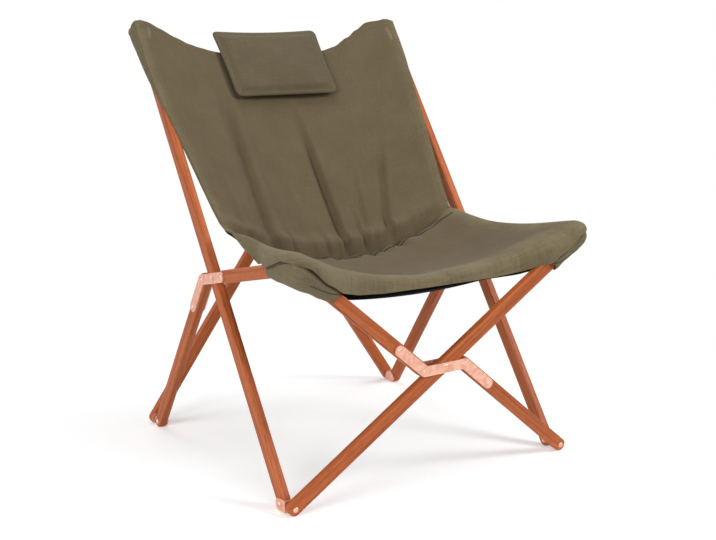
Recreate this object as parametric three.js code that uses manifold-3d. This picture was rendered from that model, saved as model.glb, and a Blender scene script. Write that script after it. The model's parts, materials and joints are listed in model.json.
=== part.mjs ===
// Folding butterfly sling chair: wooden bars in four crossed panels, riveted copper fittings, a canvas sling
// hung on the four upper corners and a head pillow. Millimetres, +Z up, the sitter faces -Y.
import * as THREE from "three";
import { mergeVertices } from "three/addons/utils/BufferGeometryUtils.js";
import { ConvexGeometry } from "three/addons/geometries/ConvexGeometry.js";
import Module from "manifold-3d";

const wasm = await Module();
wasm.setup();

// Frame layout: hinge points of the side panels, as y and z.
const HALF_WIDTH = 300;
const BAR_WIDTH = 25;
const BAR_THICK = 18;
const BAR_EDGE = 4;
const FRONT_FOOT_Y = 0;
const REAR_FOOT_Y = 549;
const BACK_TOP_Y = 568;
const BACK_TOP_Z = 830;
const SEAT_FRONT_Y = -46;
const SEAT_FRONT_Z = 438;
const PIVOT_SHARE = 0.441;
const PANEL_GAP = 32;

// Copper fittings.
const PLATE_THICK = 2.5;
const PLATE_WIDTH = 20;
const PLATE_HALF = 44;
const PLATE_BEND = THREE.MathUtils.degToRad(41);
const ARM_LENGTH = 76;
const BEND_SETBACK = 3;
const LEG_RADIUS = 11;
const PIVOT_RADIUS = 4;
const PIVOT_HEAD = 8;
const PIN_RADIUS = 3;
const PIN_HEAD = 5.5;
const HEAD_HEIGHT = 2.2;
const RIVET_RADIUS = 2.5;
const RIVET_HEAD = 5;
const RIVET_DEPTH = 7;
const HOLE_CLEARANCE = 0.25;
const FACE_GAP = 0.3;
const HEAD_GAP = 0.15;

// Sling and pillow.
const CANVAS_THICK = 3;
const LINING_THICK = 1.2;
const LAYER_GAP = 0.5;
const GATHER_DEPTH = 5;
const GATHER_COUNT = 5;
const FOLD_DEPTH = 9;
const FOLD_WIDTH = 18;
const CREASE_Y = 280;
const CREASE_Z = 382;
const CREASE_SIDE_Y = 274;
const CREASE_SIDE_Z = 458;
const CREASE_INSET = 43;
const EDGE_INSET = 19;
const TOP_EDGE_LEAD = 16;
const TOP_EDGE_DROP = 12;
const TOP_CENTRE_LAG = 18;
const TOP_CENTRE_DROP = 45;
const BACK_SAG = 4;
const FRONT_INSET = 16;
const FRONT_EDGE_LAG = 6;
const FRONT_EDGE_RISE = 22;
const SEAT_LOW_Y = 130;
const SEAT_LOW_Z = 366;
const CREST_Y = -32;
const CREST_Z = 391;
const HEM_Y = -44;
const HEM_Z = 371;
const HEM_RISE = 26;
const HEM_TAPER = 0.2;
const CREST_SHARE = 10 / 12;
const WING_SHARE = 14 / 16;
const WING_END = 0.86;
const WING_HEM = 6;
const WING_DROP = 40;
const WING_ROLL = 8;
const BACK_ACROSS = 32;
const BACK_ALONG = 7;
const SEAT_ACROSS = 16;
const SEAT_ALONG = 12;
const CREASE_GAP = 0.017;
const POCKET_WALL = 2.5;
const POCKET_ROOM = 5.5;
const SEAT_POCKET = 30;
const BACK_POCKET = 40;
const PILLOW_WIDTH = 246;
const PILLOW_HEIGHT = 165;
const PILLOW_CROWN = 28;
const PILLOW_FLAT = 0.4;
const PILLOW_DRAW = 0.04;
const PILLOW_SEAM = 8;
const PILLOW_ACROSS = 12;
const PILLOW_ALONG = 9;
const PILLOW_RISE = 43.1;
const PILLOW_OFFSET = 14.7;
const PILLOW_WRAP = 12;

const FOOT_Z = BAR_WIDTH / 2;
const HALF_THICK = BAR_THICK / 2;
const LEG_NEAR = HALF_THICK + FACE_GAP;
const LEG_FAR = LEG_NEAR + PLATE_THICK;
const ROUND = 10;

function finish(color, roughness, metalness) {
  return new THREE.MeshStandardMaterial({ color, roughness, metalness });
}

const WOOD = finish(0xb5592f, 0.45, 0);
const COPPER = finish(0xe2a48c, 0.3, 1);
const CANVAS = finish(0x756b50, 0.9, 0);
const LINING = finish(0x1b1b1b, 0.9, 0);

const chair = new THREE.Group();
chair.name = "butterfly_chair";

// A closed three.js geometry as a solid that can be joined and cut.
function solid(geometry) {
  const bare = geometry.clone();
  bare.deleteAttribute("normal");
  bare.deleteAttribute("uv");
  const merged = mergeVertices(bare, 1e-4);
  const index = merged.index.array;
  const kept = [];
  for (let i = 0; i < index.length; i += 3) {
    const [a, b, c] = index.slice(i, i + 3);
    if (a !== b && b !== c && a !== c) kept.push(a, b, c);
  }
  const vertProperties = new Float32Array(merged.attributes.position.array);
  const closed = (order) =>
    new wasm.Manifold(new wasm.Mesh({ numProp: 3, vertProperties, triVerts: new Uint32Array(order) }));
  const made = closed(kept);
  return made.volume() >= 0 ? made : closed(kept.reverse());
}

// A finished solid as a named mesh of the chair, placed by a panel's matrix.
function place(name, body, material, matrix) {
  const { vertProperties, triVerts, numProp } = body.getMesh();
  const position = new Float32Array((vertProperties.length / numProp) * 3);
  for (let i = 0; i < position.length / 3; i += 1) {
    position.set(vertProperties.subarray(i * numProp, i * numProp + 3), i * 3);
  }
  const geometry = new THREE.BufferGeometry();
  geometry.setAttribute("position", new THREE.BufferAttribute(position, 3));
  geometry.setIndex(new THREE.BufferAttribute(new Uint32Array(triVerts), 1));
  if (matrix) geometry.applyMatrix4(matrix);
  geometry.computeVertexNormals();
  const mesh = new THREE.Mesh(geometry, material);
  mesh.name = name;
  chair.add(mesh);
}

const joined = (parts) => parts.reduce((sum, part) => sum.add(part));
const cutBy = (body, tools) => tools.reduce((left, tool) => left.subtract(tool), body);
const point = (x, y) => new THREE.Vector2(x, y);
const along = (from, direction, length) => from.clone().addScaledVector(direction, length);
const turned = (v, angle) => v.clone().rotateAround(new THREE.Vector2(), angle);

// The outline of a strip with round ends about two points.
function strip(p, q, radius) {
  const angle = Math.atan2(q.y - p.y, q.x - p.x);
  const shape = new THREE.Shape();
  shape.absarc(q.x, q.y, radius, angle - Math.PI / 2, angle + Math.PI / 2, false);
  shape.absarc(p.x, p.y, radius, angle + Math.PI / 2, angle + (3 * Math.PI) / 2, false);
  return shape;
}

// The outline of a tab with a square end at p and a round end about q.
function tab(p, q, radius) {
  const angle = Math.atan2(q.y - p.y, q.x - p.x);
  const side = point(-Math.sin(angle), Math.cos(angle)).multiplyScalar(radius);
  const shape = new THREE.Shape();
  shape.moveTo(p.x + side.x, p.y + side.y);
  shape.lineTo(p.x - side.x, p.y - side.y);
  shape.absarc(q.x, q.y, radius, angle - Math.PI / 2, angle + Math.PI / 2, false);
  shape.closePath();
  return shape;
}

// A flat piece of sheet metal between two heights of the panel's normal.
function sheetMetal(shape, low, high) {
  const options = { depth: high - low, bevelEnabled: false, curveSegments: 5 };
  return solid(new THREE.ExtrudeGeometry(shape, options).translate(0, 0, low));
}

// A round tool or shank along the panel's normal.
function round(at, radius, low, high) {
  const geometry = new THREE.CylinderGeometry(radius, radius, high - low, ROUND).rotateX(Math.PI / 2);
  return solid(geometry.translate(at.x, at.y, (low + high) / 2));
}

// A riveted pin along the panel's normal, with a domed head at either end or at both.
function pin(at, radius, head, low, high, headLow, headHigh) {
  const profile = [];
  const dome = (z, up) => [
    point(head, z),
    point(head * 0.7, z + up * HEAD_HEIGHT * 0.7),
    point(0, z + up * HEAD_HEIGHT),
  ];
  if (headLow) profile.push(...dome(low, -1).reverse());
  else profile.push(point(0, low));
  profile.push(point(radius, low), point(radius, high));
  if (headHigh) profile.push(...dome(high, 1));
  else profile.push(point(0, high));
  const geometry = new THREE.LatheGeometry(profile, ROUND).rotateX(Math.PI / 2);
  return solid(geometry.translate(at.x, at.y, 0));
}

const hole = (at, radius) => round(at, radius + HOLE_CLEARANCE, -BAR_THICK, BAR_THICK);

// A wooden bar with rounded edges and round ends, drilled for its pins.
function bar(name, p, q, holes, matrix) {
  const geometry = new THREE.ExtrudeGeometry(strip(p, q, BAR_WIDTH / 2), {
    depth: BAR_THICK - 2 * BAR_EDGE,
    bevelThickness: BAR_EDGE,
    bevelSize: BAR_EDGE,
    bevelOffset: -BAR_EDGE,
    bevelSegments: 2,
    curveSegments: 6,
  });
  const wood = solid(geometry.translate(0, 0, BAR_EDGE - HALF_THICK));
  place(name, cutBy(wood, holes), WOOD, matrix);
}

// Side panels: local X is world +Y, local Y is world +Z, the normal is world +X.
function sideMatrix(sign) {
  const basis = new THREE.Matrix4();
  basis.makeBasis(new THREE.Vector3(0, 1, 0), new THREE.Vector3(0, 0, 1), new THREE.Vector3(1, 0, 0));
  return basis.setPosition(sign * HALF_WIDTH, 0, 0);
}

const FRONT_FOOT = point(FRONT_FOOT_Y, FOOT_Z);
const REAR_FOOT = point(REAR_FOOT_Y, FOOT_Z);
const BACK_TOP = point(BACK_TOP_Y, BACK_TOP_Z);
const SEAT_FRONT = point(SEAT_FRONT_Y, SEAT_FRONT_Z);
const PIVOT = FRONT_FOOT.clone().lerp(BACK_TOP, PIVOT_SHARE);
const RAIL_WAY = SEAT_FRONT.clone().sub(PIVOT).normalize();
const RAIL_HINGE = along(PIVOT, RAIL_WAY, PLATE_HALF);
const SIDE_BEND = along(PIVOT, RAIL_WAY, -PLATE_HALF);
const LOWER_WAY = REAR_FOOT.clone().sub(SIDE_BEND).normalize();

// Front and rear panels: local X is world +X, local Y runs up the panel, the normal points to the front.
function panel(foot, top, offset) {
  const up = new THREE.Vector3(0, top.x - foot.x, top.y - foot.y);
  const height = up.length();
  up.normalize();
  const right = new THREE.Vector3(1, 0, 0);
  const normal = right.clone().cross(up);
  const origin = new THREE.Vector3(0, foot.x, foot.y).addScaledVector(normal, offset);
  const lift = (FOOT_Z - origin.z + Math.abs(normal.z) * (HALF_THICK - BAR_EDGE)) / up.z;
  const matrix = new THREE.Matrix4().makeBasis(right, up, normal).setPosition(origin);
  const corner = (sign, high) => point(sign * HALF_WIDTH, lift + (high ? height : 0));
  return { matrix, corner, lift, height };
}

const FRONT = panel(FRONT_FOOT, SEAT_FRONT, PANEL_GAP);
const REAR = panel(REAR_FOOT, BACK_TOP, -PANEL_GAP);

// The bent plate of a crossing: outline strips about the middle, with its rivets fused on the arms
// and a bare rivet head over each of the studs that it caps.
function crossPlate(name, middle, arms, holes, studs, side, matrix) {
  const low = side > 0 ? LEG_NEAR : -LEG_FAR;
  const high = low + PLATE_THICK;
  const pieces = [sheetMetal(strip(middle[0], middle[1], PLATE_WIDTH / 2), low, high)];
  for (const arm of arms) {
    const end = along(arm.bend, arm.way, ARM_LENGTH);
    pieces.push(sheetMetal(strip(arm.bend, end, PLATE_WIDTH / 2), low, high));
    for (const at of [arm.bend, end]) {
      const tip = side > 0 ? [LEG_NEAR - RIVET_DEPTH, high] : [low, -LEG_NEAR + RIVET_DEPTH];
      pieces.push(pin(at, RIVET_RADIUS, RIVET_HEAD, tip[0], tip[1], side < 0, side > 0));
    }
  }
  for (const at of studs) pieces.push(pin(at, PIN_RADIUS, PIN_HEAD, low, high, side < 0, side > 0));
  place(name, cutBy(joined(pieces), holes), COPPER, matrix);
}

// A crossed panel: one bar runs through, the other is two half-bars on a pair of Z plates at the centre.
function crossedPanel(name, layout) {
  const { matrix, corner, height } = layout;
  const centre = point(0, corner(-1, false).y + height / 2);
  const split = corner(-1, true).sub(corner(1, false));
  const reach = split.length() / 2;
  const across = PLATE_HALF * Math.sin(PLATE_BEND);
  const wayAngle = -Math.asin(across / reach);
  const way = turned(split.clone().normalize(), wayAngle);
  const middleWay = turned(way, PLATE_BEND);
  const lowBend = along(centre, middleWay, -PLATE_HALF);
  const highBend = along(centre, middleWay, PLATE_HALF);
  const pivotHole = hole(centre, PIVOT_RADIUS);
  const pinHole = (sign, high) => hole(corner(sign, high), PIN_RADIUS);
  const throughHoles = [pivotHole, pinHole(-1, false), pinHole(1, true)];
  bar(name + "_bar_through", corner(-1, false), corner(1, true), throughHoles, matrix);
  const back = way.clone().negate();
  const lowRivets = [hole(lowBend, RIVET_RADIUS), hole(along(lowBend, back, ARM_LENGTH), RIVET_RADIUS)];
  const highRivets = [hole(highBend, RIVET_RADIUS), hole(along(highBend, way, ARM_LENGTH), RIVET_RADIUS)];
  const lowStart = along(lowBend, back, BEND_SETBACK);
  const highStart = along(highBend, way, BEND_SETBACK);
  bar(name + "_bar_lower", corner(1, false), lowStart, [...lowRivets, pinHole(1, false)], matrix);
  bar(name + "_bar_upper", highStart, corner(-1, true), [...highRivets, pinHole(-1, true)], matrix);
  const arms = [{ bend: lowBend, way: back }, { bend: highBend, way }];
  crossPlate(name + "_plate_front", [lowBend, highBend], arms, [pivotHole], [], 1, matrix);
  crossPlate(name + "_plate_back", [lowBend, highBend], arms, [pivotHole], [], -1, matrix);
  const far = LEG_FAR + HEAD_GAP;
  place(name + "_pivot", pin(centre, PIVOT_RADIUS, PIVOT_HEAD, -far, far, true, true), COPPER, matrix);
}

// A side panel: the post runs through, the lower bar is riveted to the side plates
// and the seat rail turns on a stud between their front ends.
function sidePanel(name, sign) {
  const matrix = sideMatrix(sign);
  const pivotHole = hole(PIVOT, PIVOT_RADIUS);
  const railHole = hole(RAIL_HINGE, PIN_RADIUS);
  const lowerEnd = along(SIDE_BEND, LOWER_WAY, ARM_LENGTH);
  const rivets = [hole(SIDE_BEND, RIVET_RADIUS), hole(lowerEnd, RIVET_RADIUS)];
  const drilled = (at) => hole(at, PIN_RADIUS);
  bar(name + "_post", FRONT_FOOT, BACK_TOP, [pivotHole, drilled(FRONT_FOOT), drilled(BACK_TOP)], matrix);
  bar(name + "_lower_bar", SIDE_BEND, REAR_FOOT, [...rivets, drilled(REAR_FOOT)], matrix);
  bar(name + "_seat_rail", RAIL_HINGE, SEAT_FRONT, [railHole, drilled(SEAT_FRONT)], matrix);
  const arms = [{ bend: SIDE_BEND, way: LOWER_WAY }];
  const middle = [SIDE_BEND, RAIL_HINGE];
  crossPlate(name + "_plate_outer", middle, arms, [pivotHole], [RAIL_HINGE], sign, matrix);
  crossPlate(name + "_plate_inner", middle, arms, [pivotHole], [RAIL_HINGE], -sign, matrix);
  const far = LEG_FAR + HEAD_GAP;
  place(name + "_pivot", pin(PIVOT, PIVOT_RADIUS, PIVOT_HEAD, -far, far, true, true), COPPER, matrix);
  place(name + "_rail_hinge", round(RAIL_HINGE, PIN_RADIUS, -HALF_THICK, HALF_THICK), COPPER, matrix);
}

// The axis change from a panel's frame to a piece whose normal is the panel's X.
const CROSSWISE = new THREE.Matrix4().makeBasis(
  new THREE.Vector3(0, 0, 1),
  new THREE.Vector3(0, 1, 0),
  new THREE.Vector3(-1, 0, 0),
);

// A pin or tool of the side hinge, turned to lie along the panel's X.
const crosswise = (body) => body.transform(CROSSWISE.elements);

// A corner: an L bracket between a side bar and a panel bar, with a pin through each leg.
// legSide is +1 where the side leg lies on the outer face of the side bar, -1 on the inner face.
// A corner that closes a loop of the fold has its pin split at the leg's face.
function corner(name, layout, sign, high, rear, legSide, openSide, openPanel) {
  const { matrix, lift, height } = layout;
  const zWay = rear ? 1 : -1;
  const panelPin = layout.corner(sign, high);
  const sidePinY = high ? height : 0;
  const sidePin = point(zWay * PANEL_GAP, sidePinY);
  const xWay = sign * legSide;
  const legLow = sign * HALF_WIDTH + xWay * LEG_NEAR;
  const legHigh = sign * HALF_WIDTH + xWay * LEG_FAR;
  const panelLeg = [zWay * LEG_NEAR, zWay * LEG_FAR].sort((a, b) => a - b);
  const flat = sheetMetal(tab(point(legHigh, panelPin.y), panelPin, LEG_RADIUS), panelLeg[0], panelLeg[1]);
  const sideRange = [-legLow, -legHigh].sort((a, b) => a - b);
  const root = point(zWay * (LEG_NEAR + PLATE_THICK / 4), sidePinY + lift);
  const upright = crosswise(sheetMetal(tab(root, sidePin, LEG_RADIUS), sideRange[0], sideRange[1]));
  let bracket = joined([flat, upright]);
  const outSide = -legHigh - Math.sign(legHigh - legLow) * HEAD_GAP;
  const inSide = -(sign * HALF_WIDTH - xWay * HALF_THICK) + Math.sign(legHigh - legLow) * HEAD_GAP;
  const faceSide = -(sign * HALF_WIDTH + xWay * HALF_THICK);
  const outPanel = zWay * (LEG_FAR + HEAD_GAP);
  const inPanel = -zWay * (HALF_THICK + HEAD_GAP);
  const riveted = (at, from, to, headFrom, headTo) =>
    from < to
      ? pin(at, PIN_RADIUS, PIN_HEAD, from, to, headFrom, headTo)
      : pin(at, PIN_RADIUS, PIN_HEAD, to, from, headTo, headFrom);
  const drill = (at, range) => round(at, PIN_RADIUS + HOLE_CLEARANCE, range[0] - 1, range[1] + 1);
  if (openSide) bracket = bracket.add(crosswise(riveted(sidePin, -legLow, -legHigh, false, true)));
  else bracket = bracket.subtract(crosswise(drill(sidePin, sideRange)));
  const sideShank = riveted(sidePin, inSide, openSide ? faceSide : outSide, true, !openSide);
  place(name + "_side_pin", crosswise(sideShank), COPPER, matrix);
  if (openPanel) bracket = bracket.add(riveted(panelPin, zWay * LEG_NEAR, zWay * LEG_FAR, false, true));
  else bracket = bracket.subtract(drill(panelPin, panelLeg));
  const panelShank = riveted(panelPin, inPanel, openPanel ? zWay * HALF_THICK : outPanel, true, !openPanel);
  place(name + "_panel_pin", panelShank, COPPER, matrix);
  place(name + "_bracket", bracket, COPPER, matrix);
}

// A smooth line through control points given as x, y and z, with its ends at 0 and 1.
function curve(...points) {
  const knots = points.map((p) => new THREE.Vector3(...p));
  return new THREE.CatmullRomCurve3(knots, false, "centripetal");
}

// A point of the back panel's side edge, by its share of the way up and its slack from the tightest line.
function onBackEdge(share, slack) {
  const inset = EDGE_INSET + slack * (CREASE_INSET - EDGE_INSET);
  const y = THREE.MathUtils.lerp(CREASE_SIDE_Y, BACK_TOP_Y - TOP_EDGE_LEAD, share);
  const z = THREE.MathUtils.lerp(CREASE_SIDE_Z, BACK_TOP_Z - TOP_EDGE_DROP, share);
  return [HALF_WIDTH - inset, y, z];
}

// A point of the seat panel's side edge, by its share of the way forwards and its slack.
function onSeatEdge(share, slack) {
  const inset = FRONT_INSET + slack * (CREASE_INSET - FRONT_INSET);
  const y = THREE.MathUtils.lerp(CREASE_SIDE_Y, SEAT_FRONT_Y + FRONT_EDGE_LAG, share);
  const z = THREE.MathUtils.lerp(CREASE_SIDE_Z, SEAT_FRONT_Z + FRONT_EDGE_RISE, share);
  return [HALF_WIDTH - inset, y, z];
}

const BACK_SLACK = [[1, 0.17], [0.87, 0.08], [0.7, 0], [0.43, 0.08], [0.145, 0.62], [0, 1]];
const SEAT_SLACK = [[0, 1], [0.31, 0.81], [0.58, 0.5], [0.81, 0.16], [1, 0]];
const BACK_EDGE = curve(...BACK_SLACK.map((entry) => onBackEdge(...entry)));
const SEAT_EDGE = curve(...SEAT_SLACK.map((entry) => onSeatEdge(...entry)));
const SEAT_CENTRE = curve([0, CREASE_Y, CREASE_Z], [0, SEAT_LOW_Y, SEAT_LOW_Z], [0, CREST_Y, CREST_Z]);
const TOP_CENTRE = new THREE.Vector3(0, BACK_TOP_Y + TOP_CENTRE_LAG, BACK_TOP_Z - TOP_CENTRE_DROP);
const CREASE_CENTRE = new THREE.Vector3(0, CREASE_Y, CREASE_Z);
const BACK_UP = TOP_CENTRE.clone().sub(CREASE_CENTRE).normalize();
const BACK_NORMAL = new THREE.Vector3(1, 0, 0).cross(BACK_UP);

// The gathers that fan out from the crease, in millimetres, fading with the distance away from it.
const gather = (u, away) => GATHER_DEPTH * Math.cos(GATHER_COUNT * Math.PI * u) * away * away * (1 - u * u);

// The back panel's long soft folds: where each starts across, where it ends and how far down it begins.
const FOLDS = [[-149, -159, 0.12], [12, 10, 0.2], [192, 108, 0.45]];

// How deep the long folds are at a place of the back panel; they fade out at both ends.
function foldDepth(x, v) {
  let depth = 0;
  for (const [from, to, start] of FOLDS) {
    const line = THREE.MathUtils.mapLinear(v, start, 1, from, to);
    const begun = THREE.MathUtils.smoothstep(v, start, start + 0.5);
    const strength = begun * (1 - THREE.MathUtils.smoothstep(v, 0.86, 1));
    depth += FOLD_DEPTH * strength * Math.exp(-(((x - line) / FOLD_WIDTH) ** 2));
  }
  return depth;
}

// The back panel's middle surface: u from -1 to 1 across, v from the top edge to the crease.
function backSurface(u, v) {
  const edge = BACK_EDGE.getPoint(v);
  const centre = TOP_CENTRE.clone().lerp(CREASE_CENTRE, v);
  centre.addScaledVector(BACK_NORMAL, -4 * BACK_SAG * v * (1 - v));
  const at = centre.lerp(new THREE.Vector3(0, edge.y, edge.z), u * u);
  at.x = edge.x * u;
  return at.addScaledVector(BACK_NORMAL, gather(u, v) - foldDepth(at.x, v));
}

// The seat from the crease (t 0) to the front crest (t 1), with wings that hang from its rolled side edges.
function seatTop(u, t) {
  const edge = SEAT_EDGE.getPoint(t);
  const centre = SEAT_CENTRE.getPoint(t);
  const out = Math.min(Math.abs(u) / WING_SHARE, 1);
  const wing = Math.max(Math.abs(u) - WING_SHARE, 0) / (1 - WING_SHARE);
  const drop = WING_HEM + WING_DROP * Math.max(Math.sin((Math.PI * t) / WING_END), 0);
  const at = centre.lerp(new THREE.Vector3(0, edge.y, edge.z), out * out);
  at.x = Math.sign(u) * ((edge.x - WING_ROLL) * out + WING_ROLL * wing);
  at.z += gather(out, 1 - t) - drop * wing;
  return at;
}

// The seat panel's middle surface: v from the crease over the front crest and down the apron to its hem.
function seatSurface(u, v) {
  if (v <= CREST_SHARE) return seatTop(u, v / CREST_SHARE);
  const crest = seatTop(u, 1);
  const out = Math.abs(crest.x) / HALF_WIDTH;
  const hem = new THREE.Vector3(crest.x * (1 - HEM_TAPER), HEM_Y, HEM_Z + HEM_RISE * out ** 3);
  return crest.lerp(hem, (v - CREST_SHARE) / (1 - CREST_SHARE));
}

// A closed body between two layers of a grid: pointAt gives a point from u, v and the layer, each 0 to 1.
function closedGrid(cols, rows, pointAt) {
  const positions = [];
  for (const layer of [0, 1]) {
    for (let j = 0; j <= rows; j += 1) {
      for (let i = 0; i <= cols; i += 1) positions.push(...pointAt(i / cols, j / rows, layer).toArray());
    }
  }
  const size = (cols + 1) * (rows + 1);
  const at = (i, j, k) => k * size + j * (cols + 1) + i;
  const index = [];
  const quad = (a, b, c, d) => index.push(a, b, c, a, c, d);
  for (let j = 0; j < rows; j += 1) {
    for (let i = 0; i < cols; i += 1) {
      quad(at(i, j, 0), at(i + 1, j, 0), at(i + 1, j + 1, 0), at(i, j + 1, 0));
      quad(at(i, j, 1), at(i, j + 1, 1), at(i + 1, j + 1, 1), at(i + 1, j, 1));
    }
    quad(at(0, j, 0), at(0, j + 1, 0), at(0, j + 1, 1), at(0, j, 1));
    quad(at(cols, j, 0), at(cols, j, 1), at(cols, j + 1, 1), at(cols, j + 1, 0));
  }
  for (let i = 0; i < cols; i += 1) {
    quad(at(i, 0, 0), at(i, 0, 1), at(i + 1, 0, 1), at(i + 1, 0, 0));
    quad(at(i, rows, 0), at(i + 1, rows, 0), at(i + 1, rows, 1), at(i, rows, 1));
  }
  const geometry = new THREE.BufferGeometry();
  geometry.setAttribute("position", new THREE.Float32BufferAttribute(positions, 3));
  geometry.setIndex(index);
  return solid(geometry);
}

// A layer of the sling between two offsets from a surface, along the surface's normal.
function sheet(surface, cols, rows, from, to, start) {
  const step = 1e-3;
  return closedGrid(cols, rows, (across, down, layer) => {
    const u = 2 * across - 1;
    const v = start + (1 - start) * down;
    const du = surface(u + step, v).sub(surface(u - step, v));
    const dv = surface(u, Math.min(v + step, 1)).sub(surface(u, Math.max(v - step, 0)));
    return surface(u, v).addScaledVector(dv.cross(du).normalize(), layer ? to : from);
  });
}

function sling() {
  const half = CANVAS_THICK / 2;
  const under = -half - LAYER_GAP;
  const low = under - LINING_THICK;
  place("sling_back", sheet(backSurface, BACK_ACROSS, BACK_ALONG, -half, half, 0), CANVAS);
  place("sling_back_lining", sheet(backSurface, BACK_ACROSS, BACK_ALONG, low, under, 0), LINING);
  place("sling_seat", sheet(seatSurface, SEAT_ACROSS, SEAT_ALONG, -half, half, CREASE_GAP), CANVAS);
  const seatLining = sheet(seatSurface, SEAT_ACROSS, SEAT_ALONG, low, under, CREASE_GAP);
  place("sling_seat_lining", seatLining, LINING);
}

// The convex skin round balls of one radius.
function skin(centres, radius) {
  const points = [];
  for (const centre of centres) {
    const ball = new THREE.IcosahedronGeometry(radius, 1).getAttribute("position");
    for (let i = 0; i < ball.count; i += 1) {
      points.push(new THREE.Vector3().fromBufferAttribute(ball, i).add(centre));
    }
  }
  return solid(new ConvexGeometry(points));
}

// The mouth by which a bar leaves its pocket, as a tool wider than the bar.
function mouth(p, q, matrix) {
  const reach = BAR_WIDTH / 2 + POCKET_ROOM;
  return sheetMetal(strip(p, q, reach), -reach, reach).transform(matrix.elements);
}

// A corner pocket of the sling: a canvas cap drawn over the ends of two bars, open where the bars leave it.
function pocket(name, hinge, far, sign, layout, low) {
  const side = sideMatrix(sign);
  const top = layout.corner(sign, true);
  const foot = layout.corner(-sign, false);
  const way = hinge.clone().sub(far).normalize();
  const inPanel = foot.clone().sub(top).normalize();
  const onSide = (at) => new THREE.Vector3(at.x, at.y, 0).applyMatrix4(side);
  const onPanel = (at) => new THREE.Vector3(at.x, at.y, 0).applyMatrix4(layout.matrix);
  const sideEnd = along(hinge, way, -low);
  const panelEnd = along(top, inPanel, low);
  const balls = [onSide(hinge), onSide(sideEnd), onPanel(top), onPanel(panelEnd)];
  const inner = BAR_WIDTH / 2 + POCKET_ROOM;
  const tools = [mouth(along(sideEnd, way, -low), sideEnd, side)];
  tools.push(mouth(panelEnd, along(panelEnd, inPanel, low), layout.matrix));
  const cap = skin(balls, inner + POCKET_WALL).subtract(skin(balls, inner));
  place(name, cutBy(cap, tools), CANVAS);
}

// The head pillow: a crowned front and a flatter back drawn in to one seam all round.
function pillow() {
  const top = TOP_CENTRE.clone().addScaledVector(BACK_UP, PILLOW_RISE);
  top.addScaledVector(BACK_NORMAL, PILLOW_OFFSET);
  const body = closedGrid(PILLOW_ACROSS, PILLOW_ALONG, (across, down, layer) => {
    const u = 2 * across - 1;
    const v = 2 * down - 1;
    const crown = PILLOW_SEAM / 2 + PILLOW_CROWN * Math.sqrt(Math.max(0, (1 - u ** 4) * (1 - v ** 4)));
    const rise = layer ? -PILLOW_FLAT * crown : (1 - PILLOW_FLAT) * crown;
    const height = v * (1 - PILLOW_DRAW * u * u) - 1;
    const at = top.clone().addScaledVector(BACK_UP, (PILLOW_HEIGHT / 2) * height);
    at.x = (PILLOW_WIDTH / 2) * u * (1 - PILLOW_DRAW * v * v);
    return at.addScaledVector(BACK_NORMAL, rise + PILLOW_WRAP * u * u);
  });
  place("head_pillow", body, CANVAS);
}

crossedPanel("front", FRONT);
crossedPanel("rear", REAR);
for (const [name, sign] of [["left", -1], ["right", 1]]) {
  sidePanel(name, sign);
  corner(name + "_front_foot", FRONT, sign, false, false, 1, false, false);
  corner(name + "_rear_foot", REAR, sign, false, true, -1, true, false);
  corner(name + "_seat_corner", FRONT, sign, true, false, 1, false, false);
  corner(name + "_back_corner", REAR, sign, true, true, -1, false, sign > 0);
  pocket(name + "_seat_pocket", SEAT_FRONT, RAIL_HINGE, sign, FRONT, SEAT_POCKET);
  pocket(name + "_back_pocket", BACK_TOP, PIVOT, sign, REAR, BACK_POCKET);
}
sling();
pillow();

// The origin is on the floor under the middle of the chair.
const extent = new THREE.Box3().setFromObject(chair);
const middle = extent.getCenter(new THREE.Vector3());
for (const mesh of chair.children) mesh.geometry.translate(0, -middle.y, -extent.min.z);

export default chair;
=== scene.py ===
"""Looks of a folding sling chair: oiled bars, copper-coloured fittings, a canvas sling and a pillow."""

from __future__ import annotations

import json
import logging
import math
from dataclasses import dataclass, field
from enum import Enum
from typing import Callable, Iterable, Sequence

import bmesh
import bpy
from mathutils import Matrix, Vector, noise
from mathutils.bvhtree import BVHTree

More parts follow.
